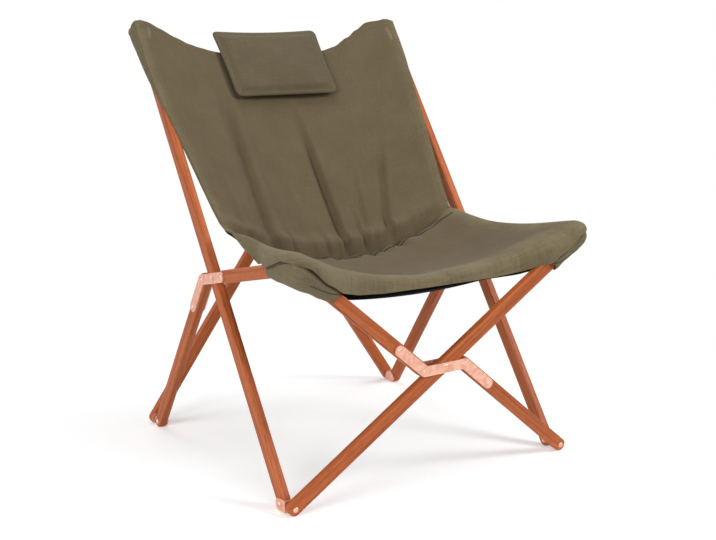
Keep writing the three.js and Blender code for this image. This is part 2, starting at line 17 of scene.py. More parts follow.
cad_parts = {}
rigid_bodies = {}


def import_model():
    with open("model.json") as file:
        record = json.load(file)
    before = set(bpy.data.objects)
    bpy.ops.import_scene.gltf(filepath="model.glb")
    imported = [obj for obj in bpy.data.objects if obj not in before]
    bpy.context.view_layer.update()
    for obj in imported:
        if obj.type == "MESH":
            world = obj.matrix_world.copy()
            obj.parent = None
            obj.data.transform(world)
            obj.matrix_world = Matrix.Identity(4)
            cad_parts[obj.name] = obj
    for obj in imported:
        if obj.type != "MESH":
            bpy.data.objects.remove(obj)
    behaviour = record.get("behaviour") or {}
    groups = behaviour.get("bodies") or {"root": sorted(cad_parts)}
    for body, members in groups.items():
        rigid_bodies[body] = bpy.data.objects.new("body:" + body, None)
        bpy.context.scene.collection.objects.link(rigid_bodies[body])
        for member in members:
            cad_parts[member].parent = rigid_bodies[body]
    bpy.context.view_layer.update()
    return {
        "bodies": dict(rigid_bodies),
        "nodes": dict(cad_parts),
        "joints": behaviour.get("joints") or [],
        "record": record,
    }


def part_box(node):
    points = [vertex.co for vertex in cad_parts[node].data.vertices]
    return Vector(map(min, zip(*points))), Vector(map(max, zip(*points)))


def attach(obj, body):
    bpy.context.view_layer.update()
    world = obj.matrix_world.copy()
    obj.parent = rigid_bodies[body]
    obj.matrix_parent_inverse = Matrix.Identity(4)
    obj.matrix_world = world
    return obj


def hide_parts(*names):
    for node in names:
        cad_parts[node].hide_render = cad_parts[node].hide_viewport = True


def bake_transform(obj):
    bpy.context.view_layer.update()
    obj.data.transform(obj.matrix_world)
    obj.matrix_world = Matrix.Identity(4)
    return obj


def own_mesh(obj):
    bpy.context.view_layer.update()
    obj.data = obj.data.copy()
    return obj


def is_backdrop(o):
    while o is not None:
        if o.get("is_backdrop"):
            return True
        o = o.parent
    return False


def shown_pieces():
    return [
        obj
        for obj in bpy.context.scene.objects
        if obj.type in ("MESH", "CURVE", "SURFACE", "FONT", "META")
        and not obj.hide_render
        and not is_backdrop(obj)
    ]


LOG = logging.getLogger("sling_chair")
MM = 0.001
WHITE = (1, 1, 1, 1)

# Both take shares across and along; a surface gives a plan point and its cloth place in millimetres.
Share = Callable[[float, float], float]
Surface = Callable[[float, float], tuple[Vector, float, float]]


class Side(Enum):
    """The two sides of the chair as seen from the front, with the sign of their x."""

    LEFT = -1
    RIGHT = 1

    @property
    def word(self) -> str:
        """The side's word in node names."""
        return self.name.lower()


def linear(hex_colour: str) -> tuple[float, float, float, float]:
    """Turns an sRGB hex colour into a linear one.

    Args:
        hex_colour: six hex digits, with or without a hash.

    Returns:
        Linear red, green, blue and an alpha of 1.
    """
    digits = hex_colour.lstrip("#")
    parts = [int(digits[i : i + 2], 16) / 255 for i in (0, 2, 4)]
    made = [p / 12.92 if p <= 0.04045 else ((p + 0.055) / 1.055) ** 2.4 for p in parts]
    return (made[0], made[1], made[2], 1.0)


def add_node(
    tree: bpy.types.NodeTree,
    kind: str,
    inputs: dict | None = None,
    stops: Sequence[tuple[float, str]] = (),
    **settings: object,
) -> bpy.types.Node:
    """Adds a node with its settings, values and links.

    Args:
        tree: the node tree.
        kind: the node's type name.
        inputs: socket names or numbers, each with a value, an output socket, or a node for its first output.
        stops: a colour ramp's places and sRGB hex colours, from low to high.
        settings: attributes of the node itself.

    Returns:
        The new node.
    """
    node = tree.nodes.new(kind)
    for name, value in settings.items():
        setattr(node, name, value)
    for name, value in (inputs or {}).items():
        if isinstance(value, bpy.types.Node):
            value = value.outputs[0]
        if isinstance(value, bpy.types.NodeSocket):
            tree.links.new(value, node.inputs[name])
        else:
            node.inputs[name].default_value = value
    if stops:
        elements = node.color_ramp.elements
        while len(elements) < len(stops):
            elements.new(0.5)
        for element, (place, colour) in zip(elements, stops):
            element.position = place
            element.color = linear(colour)
    return node


def new_material(name: str) -> tuple[bpy.types.Material, bpy.types.NodeTree]:
    """A fresh node material that holds no node yet.

    Args:
        name: the material's name.

    Returns:
        The material and its node tree.
    """
    material = bpy.data.materials.new(name)
    material.use_nodes = True
    material.node_tree.nodes.clear()
    return material, material.node_tree


@dataclass(frozen=True)
class OiledHardwood:
    """Reddish hardwood, planed and oiled: fine long pores, slow bands of colour and a low satin sheen."""

    dark: str = "#94481d"
    middle: str = "#b35c2c"
    light: str = "#c66f3c"
    pore_tint: str = "#c9b2a4"
    band_mm: tuple[float, float] = (300.0, 7.0)
    pore_mm: tuple[float, float] = (22.0, 0.9)
    roughness: float = 0.5

    def material(self) -> bpy.types.Material:
        """Builds the wood, whose grain follows each bar by the bar's own grain attribute in millimetres.

        Returns:
            The wood's material.
        """
        material, tree = new_material("oiled_hardwood")
        grain = add_node(tree, "ShaderNodeAttribute", attribute_name="grain").outputs["Vector"]
        figures = []
        for (length, width), look in (
            (self.band_mm, {"Detail": 4.0, "Distortion": 0.6}),
            (self.pore_mm, {"Detail": 3.0, "Roughness": 0.6}),
        ):
            scale = (1 / length, 1 / width, 1 / width)
            at = add_node(tree, "ShaderNodeMapping", {"Vector": grain, "Scale": scale})
            figures.append(add_node(tree, "ShaderNodeTexNoise", {"Vector": at, "Scale": 1.0, **look}))
        bands, pores = figures
        tones = [(0.28, self.dark), (0.47, self.middle), (0.7, self.light)]
        tone = add_node(tree, "ShaderNodeValToRGB", {"Fac": bands}, tones)
        mask = add_node(tree, "ShaderNodeValToRGB", {"Fac": pores}, [(0.34, "#000000"), (0.46, "#ffffff")])
        pore_tone = add_node(
            tree, "ShaderNodeValToRGB", {"Fac": mask}, [(0.0, self.pore_tint), (1.0, "#ffffff")]
        )
        colour = add_node(
            tree, "ShaderNodeMix", {0: 1.0, 6: tone, 7: pore_tone}, data_type="RGBA", blend_type="MULTIPLY"
        )
        bump = add_node(tree, "ShaderNodeBump", {"Strength": 0.3, "Distance": 0.0004, "Height": mask})
        surface = {
            "Base Color": colour.outputs[2],
            "Roughness": self.roughness,
            "Specular IOR Level": 0.3,
            "Normal": bump,
        }
        shader = add_node(tree, "ShaderNodeBsdfPrincipled", surface)
        add_node(tree, "ShaderNodeOutputMaterial", {"Surface": shader})
        return material


@dataclass(frozen=True)
class CopperPlating:
    """Copper-plated steel sheet, tumbled to a satin: warm pink metal with faint cloudy wear."""

    colour: str = "#e8b8a3"
    worn: str = "#d9a089"
    cloud_mm: float = 9.0
    grit_mm: float = 0.7
    roughness: tuple[float, float] = (0.42, 0.56)

    def material(self) -> bpy.types.Material:
        """Builds the plating on object coordinates, in metres.

        Returns:
            The plating's material.
        """
        material, tree = new_material("copper_plated_steel")
        place = add_node(tree, "ShaderNodeTexCoord").outputs["Object"]
        sizes = ((self.cloud_mm, 4.0), (self.grit_mm, 2.0))
        grains = [{"Vector": place, "Scale": 1 / (size * MM), "Detail": detail} for size, detail in sizes]
        clouds, grit = (add_node(tree, "ShaderNodeTexNoise", grain) for grain in grains)
        tone = add_node(tree, "ShaderNodeValToRGB", {"Fac": clouds}, [(0.35, self.worn), (0.6, self.colour)])
        low, high = self.roughness
        limits = {"From Min": 0.3, "From Max": 0.7, "To Min": low, "To Max": high}
        satin = add_node(tree, "ShaderNodeMapRange", {"Value": clouds, **limits})
        bump = add_node(tree, "ShaderNodeBump", {"Strength": 0.12, "Distance": 0.0002, "Height": grit})
        surface = {"Base Color": tone, "Metallic": 1.0, "Roughness": satin, "Normal": bump}
        shader = add_node(tree, "ShaderNodeBsdfPrincipled", surface)
        add_node(tree, "ShaderNodeOutputMaterial", {"Surface": shader})
        return material


@dataclass(frozen=True)
class WovenCloth:
    """Plain-woven cotton: crossed yarns with slubs that catch the light, dull and slightly fuzzy."""

    name: str
    shade: str
    base: str
    glow: str
    # The pale tone that the cloth takes where its third value is high: painted highlight on rolled edges.
    worn: str
    thread_mm: float = 1.7
    slub_mm: float = 38.0
    mottle_mm: float = 70.0
    sheen: float = 0.06

    def material(self) -> bpy.types.Material:
        """Builds the weave on the piece's cloth attribute, in millimetres across and along.

        Real yarns are about 0.6 mm apart; they are drawn thread_mm apart so that they show.
        The attribute's third value is the share of painted highlight, which pales the rolled edges as if
        light caught them.

        Returns:
            The cloth's material.
        """
        material, tree = new_material(self.name)
        cloth = add_node(tree, "ShaderNodeAttribute", attribute_name="cloth").outputs["Vector"]
        yarn = {"Vector": cloth, "Scale": 0.1 * math.pi / self.thread_mm}
        fine, coarse = 1 / self.thread_mm, 1 / self.slub_mm
        waves, slubs = [], []
        for way, scale in (("X", (coarse, fine, 1.0)), ("Y", (fine, coarse, 1.0))):
            wave = add_node(tree, "ShaderNodeTexWave", yarn, bands_direction=way)
            waves.append(wave.outputs["Fac"])
            at = add_node(tree, "ShaderNodeMapping", {"Vector": cloth, "Scale": scale})
            slubs.append(add_node(tree, "ShaderNodeTexNoise", {"Vector": at, "Scale": 1.0, "Detail": 2.0}))
        yarns = add_node(tree, "ShaderNodeMath", dict(enumerate(waves)), operation="MAXIMUM")
        crossed = add_node(tree, "ShaderNodeMath", dict(enumerate(slubs)), operation="ADD")
        spread = {"Scale": 1 / self.mottle_mm, "Detail": 3.0}
        mottle = add_node(tree, "ShaderNodeTexNoise", {"Vector": cloth, **spread})
        level = add_node(tree, "ShaderNodeMath", {0: crossed, 1: mottle}, operation="ADD")
        share = add_node(tree, "ShaderNodeMapRange", {"Value": level, "From Min": 0.9, "From Max": 2.1})
        tones = [(0.0, self.shade), (0.5, self.base), (1.0, self.glow)]
        tone = add_node(tree, "ShaderNodeValToRGB", {"Fac": share}, tones)
        # Painted highlight: the cloth attribute's third value mixes the pale tone into the rolled edges.
        wear = add_node(tree, "ShaderNodeSeparateXYZ", {"Vector": cloth}).outputs["Z"]
        patchy = add_node(tree, "ShaderNodeMath", {0: wear, 1: share}, operation="MULTIPLY")
        edge_highlit = add_node(tree, "ShaderNodeMix", {0: patchy, 6: tone, 7: linear(self.worn)}, data_type="RGBA")
        height = add_node(tree, "ShaderNodeMath", {0: yarns, 1: crossed}, operation="ADD")
        bump = add_node(tree, "ShaderNodeBump", {"Strength": 0.35, "Distance": 0.0006, "Height": height})
        surface = {
            "Base Color": edge_highlit.outputs[2],
            "Roughness": 0.92,
            "IOR": 1.45,
            "Specular IOR Level": 0.25,
            "Sheen Weight": self.sheen,
            "Sheen Roughness": 0.6,
            "Normal": bump,
        }
        shader = add_node(tree, "ShaderNodeBsdfPrincipled", surface)
        add_node(tree, "ShaderNodeOutputMaterial", {"Surface": shader})
        return material


@dataclass(frozen=True)
class FineYarn:
    """Spun cotton in thin lines: sewing thread, and dark cords that paint the shadow along seams; dull, with
    a fine grain of fibres.
    """

    name: str
    dark: str
    light: str
    fibres_per_metre: float
    detail: float
    roughness: float

    def material(self) -> bpy.types.Material:
        """Builds the yarn on object coordinates.

        Returns:
            The yarn's material.
        """
        material, tree = new_material(self.name)
        place = add_node(tree, "ShaderNodeTexCoord").outputs["Object"]
        grain = {"Vector": place, "Scale": self.fibres_per_metre, "Detail": self.detail}
        fibre = add_node(tree, "ShaderNodeTexNoise", grain)
        tone = add_node(tree, "ShaderNodeValToRGB", {"Fac": fibre}, [(0.3, self.dark), (0.7, self.light)])
        shader = add_node(tree, "ShaderNodeBsdfPrincipled", {"Base Color": tone, "Roughness": self.roughness})
        add_node(tree, "ShaderNodeOutputMaterial", {"Surface": shader})
        return material


class Finishes:
    """The chair's materials, each made once."""

    def __init__(self) -> None:
        """Makes the materials."""
        # The last colour of each cloth is the pale tone of the painted highlight on its rolled edges.
        canvas = WovenCloth("olive_cotton_canvas", "#5a4d35", "#62553e", "#6b5e46", "#8a7f60")
        pillow = WovenCloth("olive_pillow_canvas", "#544a34", "#5d523d", "#655b45", "#857a5c")
        lining = WovenCloth("black_woven_lining", "#0d0d0d", "#171716", "#232321", "#2c2c2a", sheen=0.05)
        # The thread is a little lighter than the canvas. The seam shadow is a dark cord of painted shadow,
        # laid where lapped seams and the crease lie in shade.
        thread = FineYarn("cotton_thread", "#6f664b", "#857b5d", 1500.0, 1.0, 0.8)
        fold = FineYarn("folded_canvas_edge", "#3a3122", "#453b29", 900.0, 2.0, 0.95)
        self.wood = OiledHardwood().material()
        self.copper = CopperPlating().material()
        self.canvas = canvas.material()
        self.pillow = pillow.material()
        self.lining = lining.material()
        self.thread = thread.material()
        self.fold = fold.material()


def spline(points: Sequence[Sequence[float]], t: float) -> Vector:
    """A smooth line through points, by the share of its chord length.

    Args:
        points: the knots.
        t: 0 at the first knot to 1 at the last.

    Returns:
        The point on the line.
    """
    knots = [Vector(p) for p in points]
    lengths = [0.0]
    for a, b in zip(knots, knots[1:]):
        lengths.append(lengths[-1] + (b - a).length)
    at = min(max(t, 0.0), 1.0) * lengths[-1]
    i = max(k for k in range(len(knots) - 1) if lengths[k] <= at or k == 0)
    span = lengths[i + 1] - lengths[i]
    s = (at - lengths[i]) / span
    slopes = []
    for k in (i, i + 1):
        low, high = max(k - 1, 0), min(k + 1, len(knots) - 1)
        slopes.append((knots[high] - knots[low]) / (lengths[high] - lengths[low]))
    a = knots[i] * (2 * s**3 - 3 * s**2 + 1) + slopes[0] * span * (s**3 - 2 * s**2 + s)
    return a + knots[i + 1] * (3 * s**2 - 2 * s**3) + slopes[1] * span * (s**3 - s**2)


def smooth(low: float, high: float, value: float) -> float:
    """A soft step from 0 at low to 1 at high."""
    t = min(max((value - low) / (high - low), 0.0), 1.0)
    return t * t * (3 - 2 * t)


def hump(x: float, middle: float, width: float) -> float:
    """A soft hump of height 1 over its middle."""
    return math.exp(-(((x - middle) / width) ** 2))


@dataclass(frozen=True)
class Ripple:
    """A soft fixed unevenness of cloth: its height, and its length across in millimetres."""

    height: float
    length: float

    def at(self, x: float, y: float, seed: float) -> float:
        """The rise at x millimetres across and y lengths along."""
        return self.height * noise.noise(Vector((x / self.length, y, seed)))


def point_field(*place: float) -> Vector:
    """A dataclass field that starts as a fresh point."""
    return field(default_factory=lambda: Vector(place))


def new_object(mesh: bpy.types.Mesh) -> bpy.types.Object:
    """Links a mesh into the scene under its own name, at the origin.

    Args:
        mesh: the mesh.

    Returns:
        Its object.
    """
    obj = bpy.data.objects.new(mesh.name, mesh)
    bpy.context.scene.collection.objects.link(obj)
    return obj


def recalculate(obj: bpy.types.Object, merge: float = 0.0) -> None:
    """Points a mesh's faces outwards.

    Args:
        obj: the mesh object.
        merge: points closer than this, in metres, become one first.
    """
    work = bmesh.new()
    work.from_mesh(obj.data)
    if merge > 0:
        bmesh.ops.remove_doubles(work, verts=work.verts, dist=merge)
    bmesh.ops.recalc_face_normals(work, faces=work.faces)
    work.to_mesh(obj.data)
    work.free()


def set_vectors(mesh: bpy.types.Mesh, name: str, values: Iterable[Sequence[float]]) -> None:
    """Stores one vector for each point of a mesh, under the name that its finish reads."""
    layer = mesh.attributes.new(name, "FLOAT_VECTOR", "POINT")
    layer.data.foreach_set("vector", [c for value in values for c in value])


def flatten(obj: bpy.types.Object) -> None:
    """Applies an object's modifiers, so that only a plain mesh is left.

    Args:
        obj: the object.
    """
    graph = bpy.context.evaluated_depsgraph_get()
    mesh = bpy.data.meshes.new_from_object(obj.evaluated_get(graph))
    mesh.name = obj.name
    obj.modifiers.clear()
    obj.data = mesh


def thicken(obj: bpy.types.Object, thickness: float, sharp: float) -> bpy.types.Object:
    """Gives a skin of cloth its wall, behind its face, and keeps its cut edges crisp.

    Args:
        obj: the skin.
        thickness: the cloth's thickness in millimetres.
        sharp: the angle in degrees from which an edge is crisp.

    Returns:
        The same object, as a plain closed mesh.
    """
    wall = obj.modifiers.new("wall", "SOLIDIFY")
    wall.thickness = thickness * MM
    wall.offset = -1.0
    flatten(obj)
    obj.data.shade_smooth()
    obj.data.set_sharp_from_angle(angle=math.radians(sharp))
    return obj


@dataclass(frozen=True)
class Plan:
    """The chair's layout in millimetres, with y from the front feet's hinges, as its drawing gives it."""

    half_width: float = 300.0
    bar_width: float = 25.0
    bar_thick: float = 18.0
    bar_edge: float = 4.0
    panel_gap: float = 32.0
    plate_half: float = 44.0
    plate_bend: float = math.radians(41)
    bend_setback: float = 3.0
    pivot_share: float = 0.441
    front_foot: tuple[float, float] = (0.0, 12.5)
    rear_foot: tuple[float, float] = (549.0, 12.5)
    back_top: tuple[float, float] = (568.0, 830.0)
    seat_front: tuple[float, float] = (-46.0, 438.0)
    origin_y: float = 260.8834
    origin_z: float = 0.0206

    def place(self, at: Sequence[float]) -> Vector:
        """A point of the plan in the chair's frame, in metres."""
        return Vector((at[0], at[1] - self.origin_y, at[2] - self.origin_z)) * MM

    def on_side(self, side: Side, at: Vector) -> Vector:
        """A point of a side panel, given as y and z, in the plan."""
        return Vector((side.value * self.half_width, at.x, at.y))


@dataclass
class Skin:
    """A mesh in the making: points in metres, one vector for each point, and faces."""

    name: str
    plan: Plan
    verts: list[Vector] = field(default_factory=list)
    vectors: list[tuple[float, float, float]] = field(default_factory=list)
    faces: list[tuple[int, ...]] = field(default_factory=list)

    def join(self, attribute: str, material: bpy.types.Material, merge: float = 0.0) -> bpy.types.Object:
        """Makes the mesh with outward faces.

        Args:
            attribute: the name under which the material reads the vectors.
            material: the finish.
            merge: points closer than this, in metres, become one.

        Returns:
            The object, at the origin.
        """
        mesh = bpy.data.meshes.new(self.name)
        mesh.from_pydata([tuple(v) for v in self.verts], [], self.faces)
        set_vectors(mesh, attribute, self.vectors)
        obj = new_object(mesh)
        recalculate(obj, merge)
        mesh.shade_smooth()
        mesh.materials.append(material)
        return obj


@dataclass
class WoodBar:
    """A batten with rounded edges and round ends, between two points of the plan."""

    node: str
    start: Vector
    end: Vector
    normal: Vector
    arc_steps: int = 14
    edge_steps: int = 5
    grain_step: tuple[float, float, float] = (777, 131, 57)

    def build(self, plan: Plan, wood: bpy.types.Material, number: int) -> bpy.types.Object:
        """Makes the bar with its grain attribute.

        Args:
            plan: the layout with the bar's section.
            wood: the finish.
            number: the bar's number, which sets its own grain.

        Returns:
            The bar's object, at the origin.
        """
        along = (self.end - self.start).normalized()
        across = self.normal.cross(along).normalized()
        half, edge = plan.bar_thick / 2, plan.bar_edge
        rings: list[tuple[float, float]] = []
        for k in range(self.edge_steps + 1):
            a = math.pi / 2 * k / self.edge_steps
            rings.append((edge * (1 - math.sin(a)), -half + edge * (1 - math.cos(a))))
        rings += [(inset, -height) for inset, height in reversed(rings)]
        skin = Skin(self.node + "_batten", plan)
        far, wide, deep = (number * step for step in self.grain_step)
        for inset, height in rings:
            radius = plan.bar_width / 2 - inset
            for centre, first in ((self.end, -math.pi / 2), (self.start, math.pi / 2)):
                for k in range(self.arc_steps + 1):
                    a = first + math.pi * k / self.arc_steps
                    round_end = (along * math.cos(a) + across * math.sin(a)) * radius
                    at = centre + round_end + self.normal * height
                    local = at - self.start
                    skin.verts.append(plan.place(at))
                    skin.vectors.append((local.dot(along) + far, local.dot(across) + wide, height + deep))
        count, total = 2 * (self.arc_steps + 1), len(skin.verts)
        skin.faces += [tuple(reversed(range(count))), tuple(range(total - count, total))]
        for r in range(len(rings) - 1):
            for k in range(count):
                n = (k + 1) % count
                skin.faces.append((r * count + k, r * count + n, (r + 1) * count + n, (r + 1) * count + k))
        obj = skin.join("grain", wood)
        weighted = obj.modifiers.new("edges", "WEIGHTED_NORMAL")
        weighted.mode = "FACE_AREA"
        return obj


@dataclass
class Frame:
    """The folding frame: battens in four crossed panels and their copper-coloured fittings."""

    plan: Plan
    finishes: Finishes

    def crossed(self, name: str, foot: Vector, top: Vector, offset: float) -> list[WoodBar]:
        """The three battens of the front or rear panel.

        Args:
            name: front or rear.
            foot: the lower side hinge as y and z.
            top: the upper side hinge as y and z.
            offset: how far the panel lies along its normal from the hinges' plane.

        Returns:
            The through bar and the two half-bars.
        """
        plan = self.plan
        up = Vector((0, top.x - foot.x, top.y - foot.y))
        height = up.length
        up.normalize()
        right = Vector((1, 0, 0))
        normal = right.cross(up)
        origin = Vector((0, foot.x, foot.y)) + normal * offset
        lift = (foot.y - origin.z + abs(normal.z) * (plan.bar_thick / 2 - plan.bar_edge)) / up.z
        at = lambda p: origin + right * p.x + up * p.y
        low_y, high_y, w = lift, lift + height, plan.half_width
        centre = Vector((0, lift + height / 2))
        split = Vector((-w, high_y)) - Vector((w, low_y))
        turn = -math.asin(plan.plate_half * math.sin(plan.plate_bend) / (split.length / 2))
        way = Matrix.Rotation(turn, 2) @ split.normalized()
        middle = Matrix.Rotation(plan.plate_bend, 2) @ way
        low_start = centre - middle * plan.plate_half - way * plan.bend_setback
        high_start = centre + middle * plan.plate_half + way * plan.bend_setback
        return [
            WoodBar(name + "_bar_through", at(Vector((-w, low_y))), at(Vector((w, high_y))), normal),
            WoodBar(name + "_bar_lower", at(Vector((w, low_y))), at(low_start), normal),
            WoodBar(name + "_bar_upper", at(high_start), at(Vector((-w, high_y))), normal),
        ]

    def bars(self) -> Iterable[WoodBar]:
        """Every batten of the frame, in the plan.

        Returns:
            The battens of the front, the rear and both sides.
        """
        plan = self.plan
        foot, rear = Vector(plan.front_foot), Vector(plan.rear_foot)
        top, seat = Vector(plan.back_top), Vector(plan.seat_front)
        pivot = foot.lerp(top, plan.pivot_share)
        way = (seat - pivot).normalized()
        hinge, bend = pivot + way * plan.plate_half, pivot - way * plan.plate_half
        yield from self.crossed("front", foot, seat, plan.panel_gap)
        yield from self.crossed("rear", rear, top, -plan.panel_gap)
        normal = Vector((1, 0, 0))
        for side in Side:
            for word, p, q in (("post", foot, top), ("lower_bar", bend, rear), ("seat_rail", hinge, seat)):
                yield WoodBar(f"{side.word}_{word}", plan.on_side(side, p), plan.on_side(side, q), normal)

    def dress(self, frame: dict) -> None:
        """Replaces the battens by grained ones and finishes every fitting.
        """
        bodies = frame["record"]["behaviour"]["bodies"]
        body_of = {node: body for body, nodes in bodies.items() for node in nodes}
        for number, bar in enumerate(self.bars(), 1):
            obj = bar.build(self.plan, self.finishes.wood, number)
            low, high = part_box(bar.node)
            off = max(
                max(abs(min(places) - low[i]), abs(max(places) - high[i]))
                for i, places in enumerate(zip(*(v.co for v in obj.data.vertices)))
            )
            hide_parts(bar.node)
            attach(obj, body_of[bar.node])
            LOG.info("%s rides on %s, %.2f mm from its solid", obj.name, body_of[bar.node], off / MM)
        slots = {s["node"]: s["material_slot"] for s in frame["record"]["subparts"]}
        for node, obj in frame["nodes"].items():
            if slots[node] == "copper":
                obj.data.materials.clear()
                obj.data.materials.append(self.finishes.copper)


@dataclass
class Sheet(Skin):
    """A sewn sheet made from patches of a surface: each point has its place in the plan and in the cloth."""

    thickness: float = 1.8
    merge: float = 0.0002
    crisp: float = 50.0

    def patch(self, cols: int, rows: int, surface: Surface, worn: Share = lambda a, b: 0.0) -> None:
        """Adds a grid of a surface.

        Args:
            cols: cells across.
            rows: cells along.
            surface: gives a plan point and its cloth place in millimetres, from shares across and along.
            worn: gives the share of painted highlight, which pales the cloth, from the same shares.
        """
        base = len(self.verts)
        for j in range(rows + 1):
            for i in range(cols + 1):
                at, a, b = surface(i / cols, j / rows)
                self.verts.append(self.plan.place(at))
                self.vectors.append((a, b, worn(i / cols, j / rows)))
        for j in range(rows):
            for i in range(cols):
                k = base + j * (cols + 1) + i
                self.faces.append((k, k + 1, k + cols + 2, k + cols + 1))

    def build(self, material: bpy.types.Material, upward: Vector, relax: int = 0) -> bpy.types.Object:
        """Joins the patches and gives them their thickness.

        Args:
            material: the cloth.
            upward: the way that the sheet's face looks, so that it is thickened behind.
            relax: rounds of smoothing over the joined patches.

        Returns:
            The sheet's object as a plain closed mesh.
        """
        obj = self.join("cloth", material, self.merge)
        if sum(f.normal.dot(upward) * f.area for f in obj.data.polygons) < 0:
            obj.data.flip_normals()
        if relax:
            soften = obj.modifiers.new("soften", "SMOOTH")
            soften.iterations = relax
            soften.factor = 0.5
        return thicken(obj, self.thickness, self.crisp)


@dataclass
class Sling:
    """The canvas: a back and a seat panel sewn at a gathered crease, with linings, wings and a front apron.

    Its sizes are millimetres in the plan, or shares of a panel. Where a table has one row for each side,
    the left side's row comes first, so that the sign of a place picks the row.
    """

    plan: Plan
    finishes: Finishes
    back_top: Vector = point_field(0, 586, 785)
    crease: Vector = point_field(0, 280, 382)
    crest: Vector = point_field(0, -12, 389)
    seat_low: Vector = point_field(0, 130, 366)
    foot_tail: Vector = point_field(0, -13.0, -5.0)
    roll_way: Vector = point_field(0, 0.82, -0.57)
    corner_swing: Vector = point_field(3.5, -4.0, 1.0)
    back_cloth: tuple[float, float] = (600.0, 505.0)
    seat_cloth: tuple[float, float] = (570.0, 330.0)
    back_cells: tuple[int, int] = (200, 110)
    seat_cells: tuple[int, int] = (180, 80)
    flat_reach: float = 303.0
    back_hollow: float = 16.0
    back_swell: Ripple = Ripple(2.5, 120.0)
    seat_swell: Ripple = Ripple(3.0, 95.0)
    seat_gather: Ripple = Ripple(5.0, 24.0)
    crease_sway: Ripple = Ripple(4.0, 34.0)
    valley: float = 20.0
    # The gathered bulge above the crease: its height, its share down the back, its spread and its unevenness.
    bulge: float = 8.0
    bulge_at: float = 0.945
    bulge_spread: float = 0.03
    bulge_swell: Ripple = Ripple(0.7, 38.0)
    # The ridge beside a long fold: its share of the fold's depth, and its distance and width in fold widths.
    fold_ridge: tuple[float, float, float] = (0.45, 1.9, 1.3)
    # The ridge beside a pleat: its share of the pleat's depth, its distance and its width.
    pleat_ridge: tuple[float, float, float] = (0.4, 10, 7.0)
    pleat_width: float = 5.0
    # What a pleat does in the seat: its share of the pleat's depth and its width.
    seat_pleat: tuple[float, float] = (0.8, 8.0)
    ear_reach: float = 0.13
    # How far the back's edge goes behind: round the post near the pocket, and as a hem down to the crease.
    wrap_depth: float = 20.0
    hem_depth: float = 9.0
    roll_out: float = 3.0
    roll_off: float = 2.0
    # The apron's rounded front: where it fades out to the sides, its rise and its reach forwards.
    apron_fade: tuple[float, float] = (150, 260)
    apron_rise: float = 5.0
    apron_out: float = 3.0
    # Shares of painted highlight, which pale the back's side edges and rolls and the seat's edges, rolls and
    # apron.
    back_wear: float = 0.5
    seat_wear: float = 0.85
    lining_thick: float = 1.0
    back_lining_cloth: tuple[float, float] = (560.0, 500.0)
    seat_lining_cloth: tuple[float, float] = (570.0, 320.0)
    tuck_cloth: float = 120.0
    lining_reach: float = 282.0
    lining_inset: float = 8.0
    # Where the seat lining hangs lowest in front: its depth, its middle and its reach to each side.
    lining_dip: tuple[float, float, float] = (8.0, -50.0, 150.0)
    back_lining_gap: float = 5.0
    seat_lining_gap: float = 6.0
    tuck_gap: float = 9.5
    tuck_share: float = 0.38
    lining_share: float = 0.9
    lining_front: float = -43.0
    edge_row: float = 0.965
    top_row: tuple[float, float] = (0.96, 0.025)
    seat_row: tuple[float, float] = (0.93, 0.09)
    # Each dark line of painted shadow along the crease: its share along the seat, its sway, where it starts
    # and how far it runs across.
    crease_rows: tuple = ((0.07, 0.018, -0.88, 1.84), (0.084, 0.03, -0.4, 0.8))
    # Each side's rise of the top edge beside the pocket, by the distance from the middle.
    ears: tuple = (
        ((0, -12), (133, -10.5), (168, -8), (192, -6), (224, 1), (257, 10), (280, 15), (314, 9)),
        ((0, -12), (128, -13.5), (156, -11), (195, 2.5), (220, 14), (248, 24), (288, 16), (309, 3)),
    )
    # Hem points of the right side, by the y of the rim along a side and by its x along the front.
    side_hem: tuple = (
        (-66, (318.5, -70, 452)),
        (-41, (319.5, -41, 451)),
        (-15, (319.5, -15, 441)),
        (13, (319, 13, 432)),
        (30, (316, 30, 431)),
        (60, (302, 60, 430)),
        (95, (290, 95, 421)),
        (127, (276, 127, 417)),
        (186, (272, 186, 433)),
        (247, (266, 247, 454)),
        (274, (257, 274, 455)),
    )
    front_hem: tuple = (
        (0, (0, -47, 371)),
        (120, (120, -50, 372)),
        (176, (178, -60, 378)),
        (205, (206, -75, 386)),
        (224, (228, -92, 393)),
        (240, (244, -95, 405)),
        (262, (262, -97, 415)),
        (280, (276, -99, 428)),
        (290, (289, -100.5, 441)),
        (297, (302, -99.5, 447)),
    )
    # Height of the seat lining's front edge, by the distance from the middle.
    lining_hem: tuple = ((0, 371), (120, 371), (176, 371), (224, 374), (250, 384), (275, 404), (301, 430))
    back_edges: tuple = (
        (
            (315, 557, 847),
            (315.5, 507, 773),
            (309, 463, 706),
            (290, 396, 612),
            (274, 318, 510),
            (267, 274, 458),
        ),
        (
            (309, 557, 847),
            (307, 507, 773),
            (300, 463, 706),
            (288, 396, 612),
            (269.5, 318, 510),
            (259.5, 274, 457),
        ),
    )
    seat_edges: tuple = (
        ((267, 274, 458), (267, 176, 459), (273, 95, 455), (284, 25, 459), (297, -66, 468)),
        ((259.5, 274, 457), (259.5, 214, 449), (263, 139, 443), (274, 52, 447), (297, -66, 466)),
    )
    # Each long fold: its x at the top and at the crease, the share where it starts, its depth and its width.
    long_folds: tuple = (
        (-149, -159, 0.05, 14.0, 12.0),
        (12, 10, 0.2, 13.0, 7.5),
        (192, 108, 0.45, 9.0, 7.0),
        (-232, -214, 0.5, 5.0, 8.0),
        (-84, -78, 0.5, 4.0, 12.0),
        (96, 60, 0.6, 6.0, 7.0),
    )
